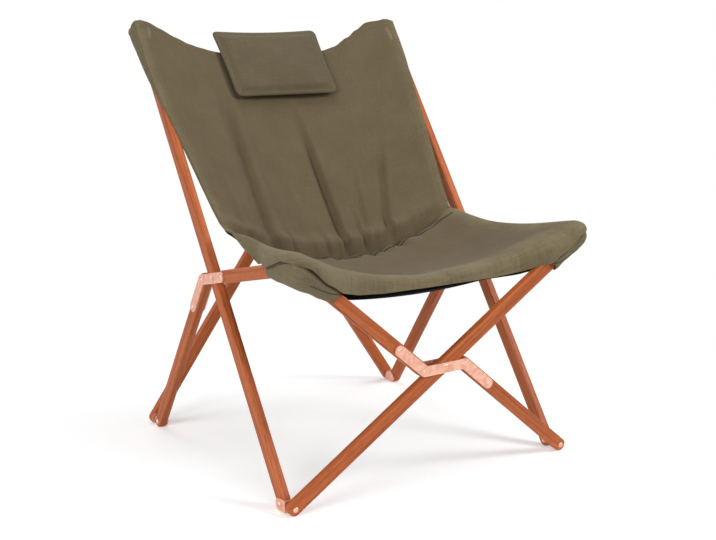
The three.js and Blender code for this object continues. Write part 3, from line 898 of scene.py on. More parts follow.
    # Each pleat at the crease: its x, its reach up the back and its depth.
    pleats: tuple = (
        (-196, 0.06, 3.5),
        (-112, 0.09, 6.5),
        (-66, 0.05, 3.0),
        (-33, 0.1, 7.0),
        (-8, 0.09, 5.0),
        (57, 0.13, 9.5),
        (82, 0.07, 6.0),
        (123, 0.08, 7.0),
        (170, 0.05, 4.0),
    )

    def back_normal(self) -> Vector:
        """The back panel's way towards the sitter."""
        return Vector((1, 0, 0)).cross(self.back_way())

    def back_way(self) -> Vector:
        """The way up the back panel."""
        return (self.back_top - self.crease).normalized()

    def folds(self, x: float, v: float) -> float:
        """The back panel's soft folds and gathers, in millimetres towards the sitter.

        Args:
            x: millimetres from the middle.
            v: 0 at the top edge to 1 at the crease.

        Returns:
            The rise at that point.
        """
        rise = self.back_swell.at(x, v * 3.2, 8.7)
        ridge, aside, wide = self.fold_ridge
        for top_x, low_x, start, depth, width in self.long_folds:
            if v > start:
                t = (v - start) / (1 - start)
                line = top_x + (low_x - top_x) * t
                strength = depth * smooth(0, 0.5, t)
                rise -= strength * hump(x, line, width)
                rise += ridge * strength * hump(x, line + aside * width, wide * width)
        ridge, aside, wide = self.pleat_ridge
        for line, reach, depth in self.pleats:
            strength = depth * smooth(1 - 2 * reach, 1 - 0.2 * reach, v)
            rise -= strength * hump(x, line, self.pleat_width)
            rise += ridge * strength * hump(x, line + aside, wide)
        uneven = 1 + self.bulge_swell.at(x, 0.3, 2.9)
        return rise + self.bulge * uneven * hump(v, self.bulge_at, self.bulge_spread)

    def ear(self, x: float, v: float) -> float:
        """How far the top edge stands up beside the pockets, in millimetres."""
        return self._step(self.ears[x > 0], abs(x)) * (1 - smooth(0, self.ear_reach, v))

    def crease_point(self, u: float) -> Vector:
        """The sewn valley between the back and the seat, in the plan.

        Args:
            u: -1 to 1 across.

        Returns:
            The point of the valley.
        """
        end = Vector(self.seat_edges[u > 0][0])
        at = self.crease.lerp(Vector((0, end.y, end.z)), u * u)
        at.x = end.x * u
        at.z -= self.valley * (1 - smooth(0.7, 1.0, abs(u)))
        at.y += self.crease_sway.at(at.x, 7.7, 0.4) * (1 - smooth(0.8, 1.0, abs(u)))
        return at

    def crease_lines(self) -> list[list[Vector]]:
        """Two wavering lines along the crease, where the gathered foot of the back meets the seat and a dark
        cord paints the shadow.

        Returns:
            The points of each line, in the plan.
        """
        lines = []
        for v, sway, start, run in self.crease_rows:
            line = []
            for k in range(121):
                u = start + run * k / 120
                line.append(self.seat_point(u, v + sway * noise.noise(Vector((u * 9.0, v * 90.0, 3.1)))))
            lines.append(line)
        return lines

    def stitched_rows(self) -> tuple[list[list[Vector]], list[list[Vector]]]:
        """The stitched rows of the back, down its edges and along its top, and of the seat, near the crease.

        Returns:
            The back's rows and the seat's rows, as points of the plan.
        """
        back = [[self.back_point(u, k / 60) for k in range(61)] for u in (-self.edge_row, self.edge_row)]
        reach, v = self.top_row
        back.append([self.back_point(-reach + 2 * reach * k / 80, v) for k in range(81)])
        reach, v = self.seat_row
        return back, [[self.seat_point(-reach + 2 * reach * k / 80, v) for k in range(81)]]

    def back_point(self, u: float, v: float) -> Vector:
        """The back panel's face in the plan.

        Args:
            u: -1 to 1 across.
            v: 0 at the top edge to 1 at the crease.

        Returns:
            The point of the face.
        """
        edge = spline(self.back_edges[u > 0], v)
        centre = self.back_top.lerp(self.crease, v) - self.back_normal() * self.back_hollow * v * (1 - v)
        share = min(1.0, abs(u) * edge.x / min(edge.x, self.flat_reach)) ** 2
        at = centre.lerp(Vector((0, edge.y, edge.z)), share)
        at.x = edge.x * u
        calm = 1 - smooth(0.86, 0.97, abs(u))
        at += self.back_normal() * self.folds(at.x, v) * calm + self.back_way() * self.ear(at.x, v)
        return at.lerp(self.crease_point(u), smooth(0.955, 1.0, v))

    def seat_point(self, u: float, v: float) -> Vector:
        """The seat panel's face in the plan.

        Args:
            u: -1 to 1 across.
            v: 0 at the crease to 1 at the front crest.

        Returns:
            The point of the face.
        """
        edge = spline(self.seat_edges[u > 0], v)
        centre = spline((self.crease, self.seat_low, self.crest), v)
        at = centre.lerp(Vector((0, edge.y, edge.z)), u * u)
        at.x = edge.x * u
        near = 1 - smooth(0.04, 0.18, v)
        calm = 1 - smooth(0.8, 0.97, abs(u))
        share, width = self.seat_pleat
        for line, _, depth in self.pleats:
            at.z -= share * depth * near * calm * hump(at.x, line, width)
        at.z += near * calm * self.seat_gather.at(at.x, 1.3, 6.6)
        at.z += calm * self.seat_swell.at(at.x, v * 3.5, 5.2)
        return at.lerp(self.crease_point(u), 1 - smooth(0.0, 0.05, v))

    @staticmethod
    def _step(table: Sequence[tuple[float, float]], x: float) -> float:
        """Reads a value between the entries of a short list of places and values.

        Args:
            table: places, from low to high, with their values.
            x: the place.

        Returns:
            The value, with a soft step from one entry to the next.
        """
        for (a, p), (b, q) in zip(table, table[1:]):
            if x <= b:
                return p + (q - p) * smooth(a, b, x)
        return table[-1][1]

    @staticmethod
    def _hem(table: Sequence[tuple[float, tuple[float, float, float]]], key: float, sign: int) -> Vector:
        """Reads a hem point between the entries of a list of places and points.

        Args:
            table: places along the rim, from low to high, with their hem points on the right side.
            key: the place.
            sign: the side's sign.

        Returns:
            The hem point on that side.
        """
        point = Vector(table[-1][1]) if key > table[-1][0] else Vector(table[0][1])
        for (a, p), (b, q) in zip(table, table[1:]):
            if a <= key <= b:
                point = Vector(p).lerp(Vector(q), (key - a) / (b - a))
                break
        point.x *= sign
        return point

    def rim(self) -> list[tuple[Vector, Vector, float, float]]:
        """The seat's rim from the left crease round both corners to the right crease.

        Returns:
            The rolled edge's points with their hem points and cloth places in millimetres.
        """
        (width, length), (cols, rows), turns = self.seat_cloth, self.seat_cells, 6
        runs = []
        for s in (-1, 1):
            run = []
            for k in range(rows + 1):
                top = self.seat_point(s, k / rows)
                run.append((top, self._hem(self.side_hem, top.y, s), s * width / 2, -length * k / rows))
            corner, low = run[-1][:2]
            high = self._hem(self.front_hem, math.inf, s)
            swing = Vector((s * self.corner_swing.x, self.corner_swing.y, self.corner_swing.z))
            for k in range(1, turns + 1):
                turn = low.lerp(high, k / turns) + swing * math.sin(math.pi * k / turns)
                run.append((corner, turn, s * width / 2, -length))
            runs.append(run)
        front = []
        for k in range(1, cols):
            u = 2 * k / cols - 1
            top = self.seat_point(u, 1.0)
            low = self._hem(self.front_hem, abs(top.x), 1 if u > 0 else -1)
            front.append((top, low, u * width / 2, -length))
        return runs[0] + front + runs[1][::-1]

    def back(self) -> bpy.types.Object:
        """Builds the back panel, whose edges roll round the posts at the top.

        Returns:
            The panel's object.
        """
        sheet = Sheet("canvas_back", self.plan)
        (width, length), (cols, rows), tail = self.back_cloth, self.back_cells, self.foot_tail
        # The back's side edges and its rolls are paled by painted highlight.
        sheet.patch(
            cols,
            rows,
            lambda a, b: (self.back_point(2 * a - 1, b), (2 * a - 1) * width / 2, -b * length),
            lambda a, b: self.back_wear * smooth(0.9, 1.0, abs(2 * a - 1)),
        )
        foot = lambda a, b: (
            self.crease_point(2 * a - 1) + tail * b,
            (2 * a - 1) * width / 2,
            -length - b * tail.length,
        )
        sheet.patch(cols, 4, foot)
        for side in Side:

            def roll(a: float, b: float, sign: int = side.value) -> tuple[Vector, float, float]:
                """The rolled side edge.

                Args:
                    a: 0 to 1 round.
                    b: 0 to 1 down.
                    sign: the side's sign.

                Returns:
                    The plan point and its cloth place in millimetres.
                """
                depth = self.wrap_depth * (1 - smooth(0.1, 0.42, b))
                depth += self.hem_depth * (1 - smooth(0.95, 1, b))
                out = self.roll_out * math.sin(math.pi * a) * (1 - smooth(0.9, 1, b))
                at = self.back_point(sign, b) + self.roll_way * depth * a + Vector((sign * out, 0, 0))
                return at, sign * (width / 2 + depth * a), -b * length

            sheet.patch(6, rows, roll, lambda a, b: self.back_wear)
        return sheet.build(self.finishes.canvas, self.back_normal(), relax=2)

    def seat(self) -> bpy.types.Object:
        """Builds the seat panel with its hanging wings and its front apron.

        Returns:
            The panel's object.
        """
        sheet = Sheet("canvas_seat", self.plan)
        width, length = self.seat_cloth
        # The seat's side edges, its front, its rolls and its apron are paled by painted highlight.
        sheet.patch(
            *self.seat_cells,
            lambda a, b: (self.seat_point(2 * a - 1, b), (2 * a - 1) * width / 2, -b * length),
            lambda a, b: self.seat_wear * max(smooth(0.88, 1.0, abs(2 * a - 1)), smooth(0.86, 1.0, b)),
        )
        rim = self.rim()

        def skirt(a: float, b: float) -> tuple[Vector, float, float]:
            """The rolled edge and its hem.

            Args:
                a: 0 to 1 round the rim.
                b: 0 to 1 down.

            Returns:
                The plan point and its cloth place in millimetres.
            """
            top, low, across, along = rim[round(a * (len(rim) - 1))]
            out, fall = 1 - (1 - b) ** self.roll_off, b**self.roll_off
            at = Vector((top.x + (low.x - top.x) * out, top.y + (low.y - top.y) * out, 0))
            round_front = (1 - smooth(*self.apron_fade, abs(top.x))) * math.sin(math.pi * b)
            at.z = top.z + (low.z - top.z) * fall + self.apron_rise * round_front
            at.y -= self.apron_out * round_front
            run = (low - top).length * b
            edge = smooth(0.9 * width / 2, width / 2, abs(across))
            front = smooth(0.95, 1.0, -along / length)
            return at, across + math.copysign(run * edge, across), along - run * front

        sheet.patch(len(rim) - 1, 14, skirt, lambda a, b: self.seat_wear)
        return sheet.build(self.finishes.canvas, Vector((0, 0, 1)), relax=3)

    def linings(self) -> tuple[bpy.types.Object, bpy.types.Object]:
        """Builds the black linings behind the back panel and below the seat.

        Returns:
            The back's and the seat's lining.
        """
        back = Sheet("lining_back", self.plan, thickness=self.lining_thick)
        width, length = self.back_lining_cloth
        seat_width, seat_length = self.seat_lining_cloth
        gap = self.back_normal() * self.back_lining_gap

        def behind(a: float, b: float) -> tuple[Vector, float, float]:
            """The back lining: inside the posts, a little behind the canvas.

            Args:
                a: 0 to 1 across.
                b: 0 to 1 along.

            Returns:
                The plan point and its cloth place in millimetres.
            """
            v = 0.02 + 0.97 * b
            edge = spline(self.back_edges[1], v).x
            reach = min(self.lining_reach, edge - self.lining_inset)
            at = self.back_point((2 * a - 1) * reach / edge, v) - gap
            return at, (2 * a - 1) * width / 2, -b * length

        def tuck(a: float, b: float) -> tuple[Vector, float, float]:
            """The lining's loose end below the seat, which closes the valley when the chair folds.

            Args:
                a: 0 to 1 across.
                b: 0 to 1 along.

            Returns:
                The plan point and its cloth place in millimetres.
            """
            share = (2 * a - 1) * self.lining_share
            start = self.back_point(share, 0.99) - gap
            at = self.seat_point(share, 0.02 + self.tuck_share * b) - Vector((0, 0, self.tuck_gap))
            at = start.lerp(at, smooth(0.0, 0.12, b))
            return at, (2 * a - 1) * width / 2, -length - b * self.tuck_cloth

        def below(a: float, b: float) -> tuple[Vector, float, float]:
            """The seat lining: below the canvas, with its front edge under the hem.

            Args:
                a: 0 to 1 across.
                b: 0 to 1 along.

            Returns:
                The plan point and its cloth place in millimetres.
            """
            u = (2 * a - 1) * self.lining_share
            at = self.seat_point(u, 0.02 + 0.97 * b) - Vector((0, 0, self.seat_lining_gap))
            dip, middle, reach = self.lining_dip
            hang = dip * max(0.0, 1 - ((at.x - middle) / reach) ** 2)
            low = self._step(self.lining_hem, abs(at.x)) - hang
            at.z += (min(low, at.z) - at.z) * smooth(0.55, 1.0, b)
            at.y += (self.lining_front - at.y) * smooth(0.8, 1.0, b)
            return at, u * seat_width / 2, -b * seat_length

        back.patch(100, 60, behind)
        back.patch(100, 20, tuck)
        seat = Sheet("lining_seat", self.plan, thickness=self.lining_thick)
        seat.patch(70, 44, below)
        lining = self.finishes.lining
        return back.build(lining, self.back_normal()), seat.build(lining, Vector((0, 0, 1)))

    def dress(self) -> dict[str, bpy.types.Object]:
        """Builds the four sheets and ties them to their bodies.

        Returns:
            The sheets by name, for their seams.
        """
        back, seat = self.back(), self.seat()
        back_lining, seat_lining = self.linings()
        for obj, node, body, slot in (
            (back, "sling_back", "sling_back", "canvas"),
            (seat, "sling_seat", "sling_seat", "canvas"),
            (back_lining, "sling_back_lining", "sling_back", "lining"),
            (seat_lining, "sling_seat_lining", "sling_seat", "lining"),
        ):
            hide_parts(node)
            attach(obj, body)
        return {"back": back, "seat": seat, "back_lining": back_lining, "seat_lining": seat_lining}


@dataclass
class CornerPocket:
    """A canvas cap sewn to a corner of the sling and drawn over the ends of two battens."""

    name: str
    plan: Plan
    balls: list[tuple[Vector, float]]
    mouths: list[tuple[Vector, Vector]]
    thickness: float = 1.6
    voxel: float = 3.5
    crisp: float = 60.0
    # The share of painted highlight over the whole pocket, which pales its cloth.
    wear: float = 0.8
    rounds: int = 6
    mouth_room: float = 6.0
    mouth_facing: float = 0.25
    # The drag lines: their height, and their length across and along.
    drag: float = 1.6
    drag_mm: tuple[float, float] = (16, 42)

    def build(self, material: bpy.types.Material) -> bpy.types.Object:
        """Stretches the cloth round the balls, opens the mouths and gives the wall its thickness.

        Args:
            material: the cloth.

        Returns:
            The pocket's object as a plain closed mesh.
        """
        work = bmesh.new()
        for centre, radius in self.balls:
            at = Matrix.Translation(self.plan.place(centre))
            bmesh.ops.create_icosphere(work, subdivisions=2, radius=radius * MM, matrix=at)
        hull = bmesh.ops.convex_hull(work, input=work.verts)
        loose = [v for v in work.verts if not v.link_faces or v in hull["geom_interior"]]
        bmesh.ops.delete(work, geom=list(set(loose)), context="VERTS")
        mesh = bpy.data.meshes.new(self.name)
        work.to_mesh(mesh)
        work.free()
        obj = new_object(mesh)
        recalculate(obj, merge=0.0001)
        remesh = obj.modifiers.new("even", "REMESH")
        remesh.mode = "VOXEL"
        remesh.voxel_size = self.voxel * MM
        soften = obj.modifiers.new("soften", "SMOOTH")
        soften.iterations = self.rounds
        flatten(obj)
        self.open_mouths(obj)
        self.wrinkle(obj)
        points = [v.co / MM for v in obj.data.vertices]
        set_vectors(obj.data, "cloth", [(p.x + p.y, p.z - 0.4 * p.y, self.wear) for p in points])
        obj.data.materials.append(material)
        return thicken(obj, self.thickness, self.crisp)

    def open_mouths(self, obj: bpy.types.Object) -> None:
        """Cuts away the cloth where a batten leaves the pocket.

        Args:
            obj: the pocket.
        """
        room = (0.5 * self.plan.bar_width + self.mouth_room) * MM
        work = bmesh.new()
        work.from_mesh(obj.data)
        gone = []
        for face in work.faces:
            centre = face.calc_center_median()
            for start, way in self.mouths:
                local = centre - self.plan.place(start)
                near = (local - way * local.dot(way)).length < room
                if local.dot(way) > 0 and near and face.normal.dot(way) > self.mouth_facing:
                    gone.append(face)
                    break
        bmesh.ops.delete(work, geom=gone, context="FACES")
        work.to_mesh(obj.data)
        work.free()

    def wrinkle(self, obj: bpy.types.Object) -> None:
        """Pulls the cloth into faint drag lines.

        Args:
            obj: the pocket.
        """
        across, along = self.drag_mm
        for vertex in obj.data.vertices:
            at = vertex.co / MM
            rise = self.drag * noise.noise(Vector((at.x / across, at.y / across, at.z / along)))
            vertex.co += vertex.normal * rise * MM


@dataclass
class Pockets:
    """The four corner pockets of the sling, written for the right side.

    A ball is its x, y, z and radius. A mouth is the point where a batten leaves and the batten's way.
    """

    plan: Plan
    finishes: Finishes
    seat_balls: tuple = (
        (301, 18, 425, 15.5),
        (304, -15, 436, 13.0),
        (307, -52, 445, 10.5),
        (308, -78, 446, 10.0),
        (300, -84, 438, 14.0),
        (303, -76, 430, 14.5),
        (302, -56, 425, 14.0),
        (239, -74, 392, 16.5),
        (262, -62, 420, 9.0),
    )
    seat_mouths: tuple = (((300, 22, 423), (0, 296.5, -65)), ((239, -74, 392.5), (-0.79, 0.06, -0.6)))
    back_balls: tuple = (
        (301, 569, 831, 14.5),
        (292, 569, 831, 14.0),
        (301, 597, 831, 14.5),
        (292, 597, 831, 14.0),
        (301, 527, 770, 15.0),
        (300, 508, 744, 14.8),
        (289, 597, 802, 15.5),
    )
    back_mouths: tuple = (((300, 522, 765), (0, -0.571, -0.821)), ((290, 602, 812), (-0.5, -0.04, -0.86)))
    lap: tuple = (
        (320, 14, 430),
        (321, -15, 439),
        (321, -41, 449),
        (319, -70, 454),
        (313, -90, 453),
        (300, -99, 449),
        (288, -99, 439),
        (275, -98, 426),
        (261, -94, 413),
        (243, -94, 403),
    )
    hem: tuple = ((292, -94, 409), (272, -94, 402), (250, -94, 396), (232, -94, 393))
    blend_from: tuple[float, float, float] = (0, 574, 820)
    blend_to: tuple[float, float, float] = (0, 596, 820)

    def pocket(self, side: Side, name: str, balls: tuple, mouths: tuple) -> bpy.types.Object:
        """Builds a pocket on one side.

        Args:
            side: the side.
            name: the pocket's name, without its side.
            balls: what the cloth is drawn round.
            mouths: where the battens leave.

        Returns:
            The pocket's object.
        """
        place = lambda x, y, z: Vector((side.value * x, y, z))
        spheres = [(place(*ball[:3]), ball[3]) for ball in balls]
        openings = [(place(*start), place(*way).normalized()) for start, way in mouths]
        return CornerPocket(f"{side.word}_{name}", self.plan, spheres, openings).build(self.finishes.canvas)

    def seat_seams(self, side: Side) -> list[list[Vector]]:
        """The lines on which a front pocket is sewn to the seat and hemmed, near the pocket's face, where a
        dark cord paints the seam's shadow.
        """
        lines = [[(side.value * x, y, z) for x, y, z in knots] for knots in (self.lap, self.hem)]
        return [[spline(line, k / 60) for k in range(61)] for line in lines]

    def dress(self, stitching: Stitching) -> None:
        """Builds the pockets; lays a dark cord of painted shadow along each seat pocket's seams and ties the
        seat pocket and its cord to the corner that carries it. Each back pocket is left untied.

        Args:
            stitching: what lays the seams.
        """
        for side in Side:
            seat = self.pocket(side, "seat_cap", self.seat_balls, self.seat_mouths)
            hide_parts(f"{side.word}_seat_pocket")
            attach(seat, f"{side.word}_seat_corner")
            # A dark cord along the pocket's seams paints their shadow.
            welt = stitching.welt(f"{side.word}_seat_welt", seat, self.seat_seams(side))
            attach(welt, f"{side.word}_seat_corner")
            back = self.pocket(side, "back_cap", self.back_balls, self.back_mouths)
            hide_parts(f"{side.word}_back_pocket")
            ends = (self.plan.place(self.blend_from), self.plan.place(self.blend_to))
            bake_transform(back)


@dataclass
class HeadPillow:
    """A thin stuffed pillow with a flat sewn border, laid on the top of the back panel."""

    plan: Plan
    finishes: Finishes
    up: Vector
    out: Vector
    width: float = 246.0
    height: float = 170.0
    border: float = 7.0
    shoulder: float = 16.0
    corner: float = 15.0
    crown: float = 13.0
    back: float = 9.0
    seam: float = 1.6
    seam_round: float = 1.5
    dents: Ripple = Ripple(2.2, 45)
    puckers: Ripple = Ripple(1.2, 13)
    pucker_fade: tuple[float, float] = (20, 60)
    flatness: float = 0.42
    pull_in: float = 2.5
    lean: float = 8.0
    wrap: float = 4.0
    top: Vector = point_field(0, 600.4, 828.2)

    def point(self, u: float, v: float, front: bool) -> Vector:
        """A point of the pillow's face or back in the plan.

        Args:
            u: -1 to 1 across.
            v: -1 at the lower edge to 1 at the top.
            front: whether it is on the face.

        Returns:
            The point.
        """
        half_w, half_h = self.width / 2, self.height / 2
        over_x = max(0.0, half_w * abs(u) - half_w + self.corner)
        over_y = max(0.0, half_h * abs(v) - half_h + self.corner)
        rounding = max(over_x, over_y) / max(1e-6, math.hypot(over_x, over_y)) - 1
        x = math.copysign(half_w * abs(u) + over_x * rounding - self.pull_in * abs(u) * (1 - v * v), u)
        y = math.copysign(half_h * abs(v) + over_y * rounding - self.pull_in * abs(v) * (1 - u * u), v)
        inset = min(half_w * (1 - abs(u)), half_h * (1 - abs(v)))
        flat = self.flatness * smooth(0.0, self.shoulder, inset - self.border)
        body = flat + (1 - self.flatness) * (1 - u * u) * (1 - v * v)
        rise = self.seam * smooth(0, self.seam_round, inset) + (self.crown if front else self.back) * body
        if front:
            near = 1 - smooth(*self.pucker_fade, inset)
            rise += body * self.dents.at(x, y / self.dents.length, 4.4)
            rise += body * near * self.puckers.at(x, y / self.puckers.length, 9.1)
        at = self.top + self.up * (y - half_h)
        at.x = x - (self.lean * abs(u) * (v + 1) / 2 if u < 0 else 0.0)
        return at + self.out * ((rise if front else -rise) + self.wrap * u * u)

    def border_line(self) -> list[Vector]:
        """The stitched line round the pillow's face, where the border meets the filling.

        Returns:
            The closed line's points, in the plan.
        """
        u, v = 1 - 2 * self.border / self.width, 1 - 2 * self.border / self.height
        corners = ((-u, -v), (u, -v), (u, v), (-u, v), (-u, -v))
        line = []
        for (a, b), (c, d) in zip(corners, corners[1:]):
            line += [self.point(a + (c - a) * k / 40, b + (d - b) * k / 40, True) for k in range(40)]
        return line + line[:1]

    def dress(self, stitching: Stitching) -> None:
        """Builds the pillow with its stitches and ties them to its body.

        Args:
            stitching: what sews its border.
        """
        sheet = Sheet("canvas_pillow", self.plan)
        for front in (True, False):
            face = lambda a, b, f=front: (
                self.point(2 * a - 1, 2 * b - 1, f),
                (2 * a - 1) * self.width / 2,
                b * self.height,
            )
            sheet.patch(82, 58, face)
        obj = sheet.join("cloth", self.finishes.pillow, merge=0.00005)
        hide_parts("head_pillow")
        seam = stitching.sew("pillow_stitches", obj, [self.border_line()])
        for piece in (obj, seam):
            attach(piece, "head_pillow")
            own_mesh(piece)


@dataclass
class Stitching:
    """Rows of lockstitch along seams, laid on the cloth by Geometry Nodes, and dark cords of painted shadow
    along lapped seams and the crease.
    """

    plan: Plan
    finishes: Finishes
    pitch: float = 4.5
    length: float = 3.4
    radius: float = 0.45
    # The radius of the dark cords of painted shadow.
    welt_radius: float = 0.8

    def tree(self) -> bpy.types.NodeTree:
        """Builds the tree that lays one stitch at each step of the seam lines.

        Returns:
            The tree, with its sizes as inputs.
        """
        tree = bpy.data.node_groups.new("stitch_rows", "GeometryNodeTree")
        tree.interface.new_socket("Seams", in_out="INPUT", socket_type="NodeSocketGeometry")
        for name in ("Pitch", "Length", "Radius"):
            tree.interface.new_socket(name, in_out="INPUT", socket_type="NodeSocketFloat")
        tree.interface.new_socket("Thread", in_out="INPUT", socket_type="NodeSocketMaterial")
        tree.interface.new_socket("Stitches", in_out="OUTPUT", socket_type="NodeSocketGeometry")
        given = add_node(tree, "NodeGroupInput").outputs
        steps = {"Curve": given["Seams"], "Length": given["Pitch"]}
        line = add_node(tree, "GeometryNodeResampleCurve", steps, mode="LENGTH")
        stitch = {"Vertices": 6, "Radius": given["Radius"], "Depth": given["Length"]}
        thread = add_node(tree, "GeometryNodeMeshCylinder", stitch)
        tangent = add_node(tree, "GeometryNodeInputTangent")
        turn = add_node(tree, "FunctionNodeAlignEulerToVector", {"Vector": tangent}, axis="Z")
        laid = {"Points": line, "Instance": thread.outputs["Mesh"], "Rotation": turn}
        rows = add_node(tree, "GeometryNodeInstanceOnPoints", laid)
        real = add_node(tree, "GeometryNodeRealizeInstances", {0: rows})
        dressed = add_node(tree, "GeometryNodeSetMaterial", {"Geometry": real, "Material": given["Thread"]})
        add_node(tree, "NodeGroupOutput", {0: dressed})
        return tree

    def lay(self, name: str, cloth: bpy.types.Object, seams: Sequence[Sequence[Vector]]) -> bpy.types.Object:
        """Lays seam lines on the face of a cloth.

        Args:
            name: the seams' name.
            cloth: the sheet or pocket they lie on.
            seams: lines of plan points near the cloth's face.

        Returns:
            A guide curve with one line for each seam.
        """
        tree = BVHTree.FromPolygons(
            [v.co for v in cloth.data.vertices], [tuple(p.vertices) for p in cloth.data.polygons]
        )
        curve = bpy.data.curves.new(name, "CURVE")
        curve.dimensions = "3D"
        for seam in seams:
            line = curve.splines.new("POLY")
            points = []
            for at in seam:
                hit, normal, _, _ = tree.find_nearest(self.plan.place(at))
                points.append(hit + normal * self.radius * 0.5 * MM)
            line.points.add(len(points) - 1)
            line.points.foreach_set("co", [c for p in points for c in (*p, 1.0)])
        guide = bpy.data.objects.new(name + "_guide", curve)
        bpy.context.scene.collection.objects.link(guide)
        return guide

    @staticmethod
    def settle(name: str, guide: bpy.types.Object, material: bpy.types.Material) -> bpy.types.Object:
        """Turns a guide into a plain mesh and removes it.

        Args:
            name: the piece's name.
            guide: the curve with its modifier or its thickness.
            material: the finish.

        Returns:
            The piece.
        """
        graph = bpy.context.evaluated_depsgraph_get()
        mesh = bpy.data.meshes.new_from_object(guide.evaluated_get(graph))
        mesh.name = name
        bpy.data.objects.remove(guide)
        mesh.materials.clear()
        mesh.materials.append(material)
        return new_object(mesh)

    def welt(
        self, name: str, cloth: bpy.types.Object, seams: Sequence[Sequence[Vector]], thick: float = 1.0
    ) -> bpy.types.Object:
        """Makes a dark cord of painted shadow, as a thin round line on the cloth along a seam.

        Args:
            name: the cord's name.
            cloth: the pocket or sheet it is sewn to.
            seams: lines of plan points near the cloth's face.
            thick: how many times the usual radius it has.

        Returns:
            The cord as one plain mesh.
        """
        guide = self.lay(name, cloth, seams)
        guide.data.bevel_depth = self.welt_radius * thick * MM
        guide.data.bevel_resolution = 2
        guide.data.use_fill_caps = True
        obj = self.settle(name, guide, self.finishes.fold)
        recalculate(obj, merge=0.00001)
        obj.data.shade_smooth()
        return obj

    def sew(self, name: str, cloth: bpy.types.Object, seams: Sequence[Sequence[Vector]]) -> bpy.types.Object:
        """Lays stitches on a cloth along seam lines.

        Args:
            name: the stitches' name.
            cloth: the sheet or pocket they hold.
            seams: lines of plan points near the cloth's face.

        Returns:
            The stitches as one plain mesh.
        """
        guide = self.lay(name, cloth, seams)
        rows = guide.modifiers.new("stitches", "NODES")
        rows.node_group = self.tree()
        sizes = {"Pitch": self.pitch, "Length": self.length, "Radius": self.radius}
        values = {key: size * MM for key, size in sizes.items()} | {"Thread": self.finishes.thread}
        for item in rows.node_group.interface.items_tree:
            if item.in_out == "INPUT" and item.name in values:
                rows[item.identifier] = values[item.name]
        return self.settle(name, guide, self.finishes.thread)


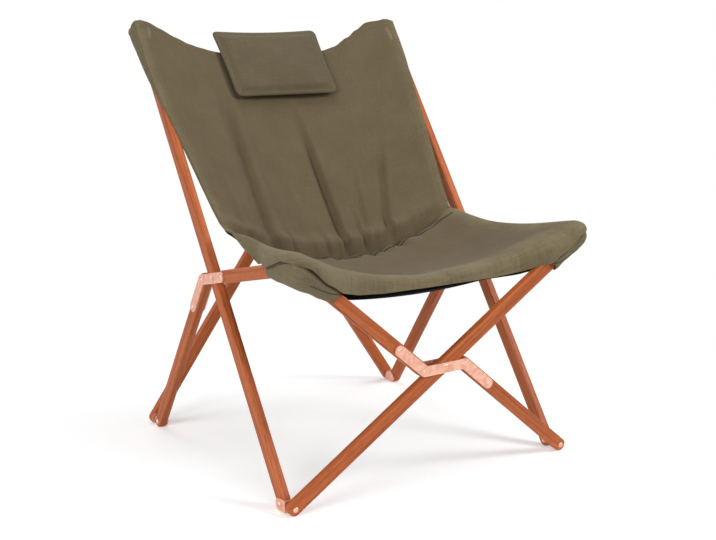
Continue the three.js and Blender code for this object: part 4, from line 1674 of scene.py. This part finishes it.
@dataclass
class Studio:
    """The photograph's room: a white sweep, soft light from the right front and a long-lens camera."""

    plan: Plan
    focal_px: float = 1200.13
    frame_px: tuple[float, float] = (716.0, 540.0)
    centre_px: tuple[float, float] = (349.19, 247.34)
    azimuth: float = math.radians(-31.52)
    elevation: float = math.radians(10.02)
    roll: float = math.radians(0.84)
    place_mm: tuple[float, float, float] = (-1240.77, -1763.16, 817.8)
    sensor: float = 36.0
    room_light: float = 0.34
    floor_glow: float = 0.32
    floor_half: float = 14.0
    floor_drop: float = 0.0004
    floor_fade: tuple[float, float] = (0.5, 1.2)
    aim: Vector = point_field(0.0, 0.0, 0.42)
    # Each lamp: its name, its place and its side in metres, and its power in watts.
    lamps: tuple = (
        ("key", (2.2, -2.3, 2.2), 1.2, 72.0),
        ("fill", (-2.9, -1.4, 1.5), 1.6, 58.0),
        ("top", (0.1, 0.5, 3.0), 1.6, 26.0),
    )

    def camera(self) -> None:
        """Sets the camera where the photograph was taken."""
        level = math.cos(self.elevation)
        ahead = Vector(
            (-math.sin(self.azimuth) * level, math.cos(self.azimuth) * level, -math.sin(self.elevation))
        )
        right = ahead.cross(Vector((0, 0, 1))).normalized()
        down = ahead.cross(right)
        across = right * math.cos(self.roll) + down * math.sin(self.roll)
        fall = down * math.cos(self.roll) - right * math.sin(self.roll)
        turn = Matrix((across, -fall, -ahead)).transposed().to_4x4()
        (wide, high), (x, y) = self.frame_px, self.centre_px
        data = bpy.data.cameras.new("photo_camera")
        data.sensor_width = self.sensor
        data.lens = self.sensor * self.focal_px / wide
        data.shift_x = (wide / 2 - x) / wide
        data.shift_y = (y - high / 2) / wide
        obj = bpy.data.objects.new("photo_camera", data)
        obj.matrix_world = Matrix.Translation(self.plan.place(self.place_mm)) @ turn
        bpy.context.scene.collection.objects.link(obj)
        bpy.context.scene.camera = obj

    def light(self) -> None:
        """Adds the square soft boxes."""
        for name, at, size, watts in self.lamps:
            data = bpy.data.lights.new(name, "AREA")
            data.size = size
            data.energy = watts
            obj = bpy.data.objects.new(name, data)
            place = Vector(at)
            turn = (self.aim - place).to_track_quat("-Z", "Y").to_matrix().to_4x4()
            obj.matrix_world = Matrix.Translation(place) @ turn
            bpy.context.scene.collection.objects.link(obj)

    def room(self) -> None:
        """Builds the white world, which gives the chair less light than it shows."""
        world = bpy.data.worlds.new("white_room")
        bpy.context.scene.world = world
        world.use_nodes = True
        tree = world.node_tree
        tree.nodes.clear()
        path = add_node(tree, "ShaderNodeLightPath").outputs
        direct = {0: path["Is Camera Ray"], 1: path["Is Glossy Ray"]}
        seen = add_node(tree, "ShaderNodeMath", direct, operation="MAXIMUM")
        through = {0: seen, 1: path["Is Transmission Ray"]}
        shown = add_node(tree, "ShaderNodeMath", through, operation="MAXIMUM")
        level = add_node(
            tree, "ShaderNodeMapRange", {"Value": shown, "To Min": self.room_light, "To Max": 1.0}
        )
        light = add_node(tree, "ShaderNodeBackground", {"Color": WHITE, "Strength": level})
        add_node(tree, "ShaderNodeOutputWorld", {"Surface": light})

    def floor(self) -> None:
        """Builds the pale floor, which keeps the chair's shadow and fades into the white."""
        mesh = bpy.data.meshes.new("floor")
        far = self.floor_half
        mesh.from_pydata([(-far, -far, 0), (far, -far, 0), (far, far, 0), (-far, far, 0)], [], [(0, 1, 2, 3)])
        floor = new_object(mesh)
        floor.location.z = -self.floor_drop
        material, tree = new_material("white_floor")
        paint = {"Base Color": (0.92, 0.92, 0.92, 1), "Roughness": 0.9, "Specular IOR Level": 0.1}
        shader = add_node(tree, "ShaderNodeBsdfPrincipled", paint)
        path = add_node(tree, "ShaderNodeLightPath").outputs
        direct = {0: path["Is Camera Ray"], 1: path["Is Glossy Ray"]}
        seen = add_node(tree, "ShaderNodeMath", direct, operation="MAXIMUM")
        level = add_node(tree, "ShaderNodeMath", {0: seen, 1: self.floor_glow}, operation="MULTIPLY")
        glow = add_node(tree, "ShaderNodeEmission", {"Color": WHITE, "Strength": level})
        lit = add_node(tree, "ShaderNodeAddShader", {0: shader, 1: glow})
        place = add_node(tree, "ShaderNodeTexCoord").outputs["Object"]
        away = add_node(tree, "ShaderNodeVectorMath", {0: place}, operation="LENGTH").outputs["Value"]
        near, gone = self.floor_fade
        limits = {"Value": away, "From Min": near, "From Max": gone}
        fade = add_node(tree, "ShaderNodeMapRange", limits, interpolation_type="SMOOTHSTEP")
        clear = add_node(tree, "ShaderNodeBsdfTransparent")
        both = add_node(tree, "ShaderNodeMixShader", {0: fade, 1: lit, 2: clear})
        add_node(tree, "ShaderNodeOutputMaterial", {"Surface": both})
        mesh.materials.append(material)
        floor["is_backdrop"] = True

    def build(self) -> None:
        """Sets up the room, the lamps and the camera."""
        bpy.context.scene.view_settings.view_transform = "Standard"
        self.room()
        self.floor()
        self.light()
        self.camera()


def tie_to_fold(objects: Iterable[bpy.types.Object]) -> None:
    """Gives each soft piece its own copy of its mesh."""
    for obj in objects:
        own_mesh(obj)


def main() -> None:
    """Builds the chair's looks in order."""
    logging.basicConfig(level=logging.INFO, format="%(message)s")
    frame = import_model()
    plan = Plan()
    finishes = Finishes()
    Frame(plan, finishes).dress(frame)
    sling = Sling(plan, finishes)
    sheets = sling.dress()
    stitching = Stitching(plan, finishes)
    Pockets(plan, finishes).dress(stitching)
    HeadPillow(plan, finishes, sling.back_way(), sling.back_normal()).dress(stitching)
    back_rows, seat_rows = sling.stitched_rows()
    back_seams = stitching.sew("back_stitches", sheets["back"], back_rows)
    seat_seams = stitching.sew("seat_stitches", sheets["seat"], seat_rows)
    # A dark cord along the crease paints the shadow where the back's foot meets the seat.
    crease_welt = stitching.welt("crease_welt", sheets["seat"], sling.crease_lines(), thick=2.0)
    for obj, body in ((back_seams, "sling_back"), (seat_seams, "sling_seat"), (crease_welt, "sling_seat")):
        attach(obj, body)
    tie_to_fold([*sheets.values(), back_seams, seat_seams, crease_welt])
    Studio(plan).build()
    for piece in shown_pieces():
        LOG.info("piece %s", piece.name)


if __name__ == "__main__":
    main()
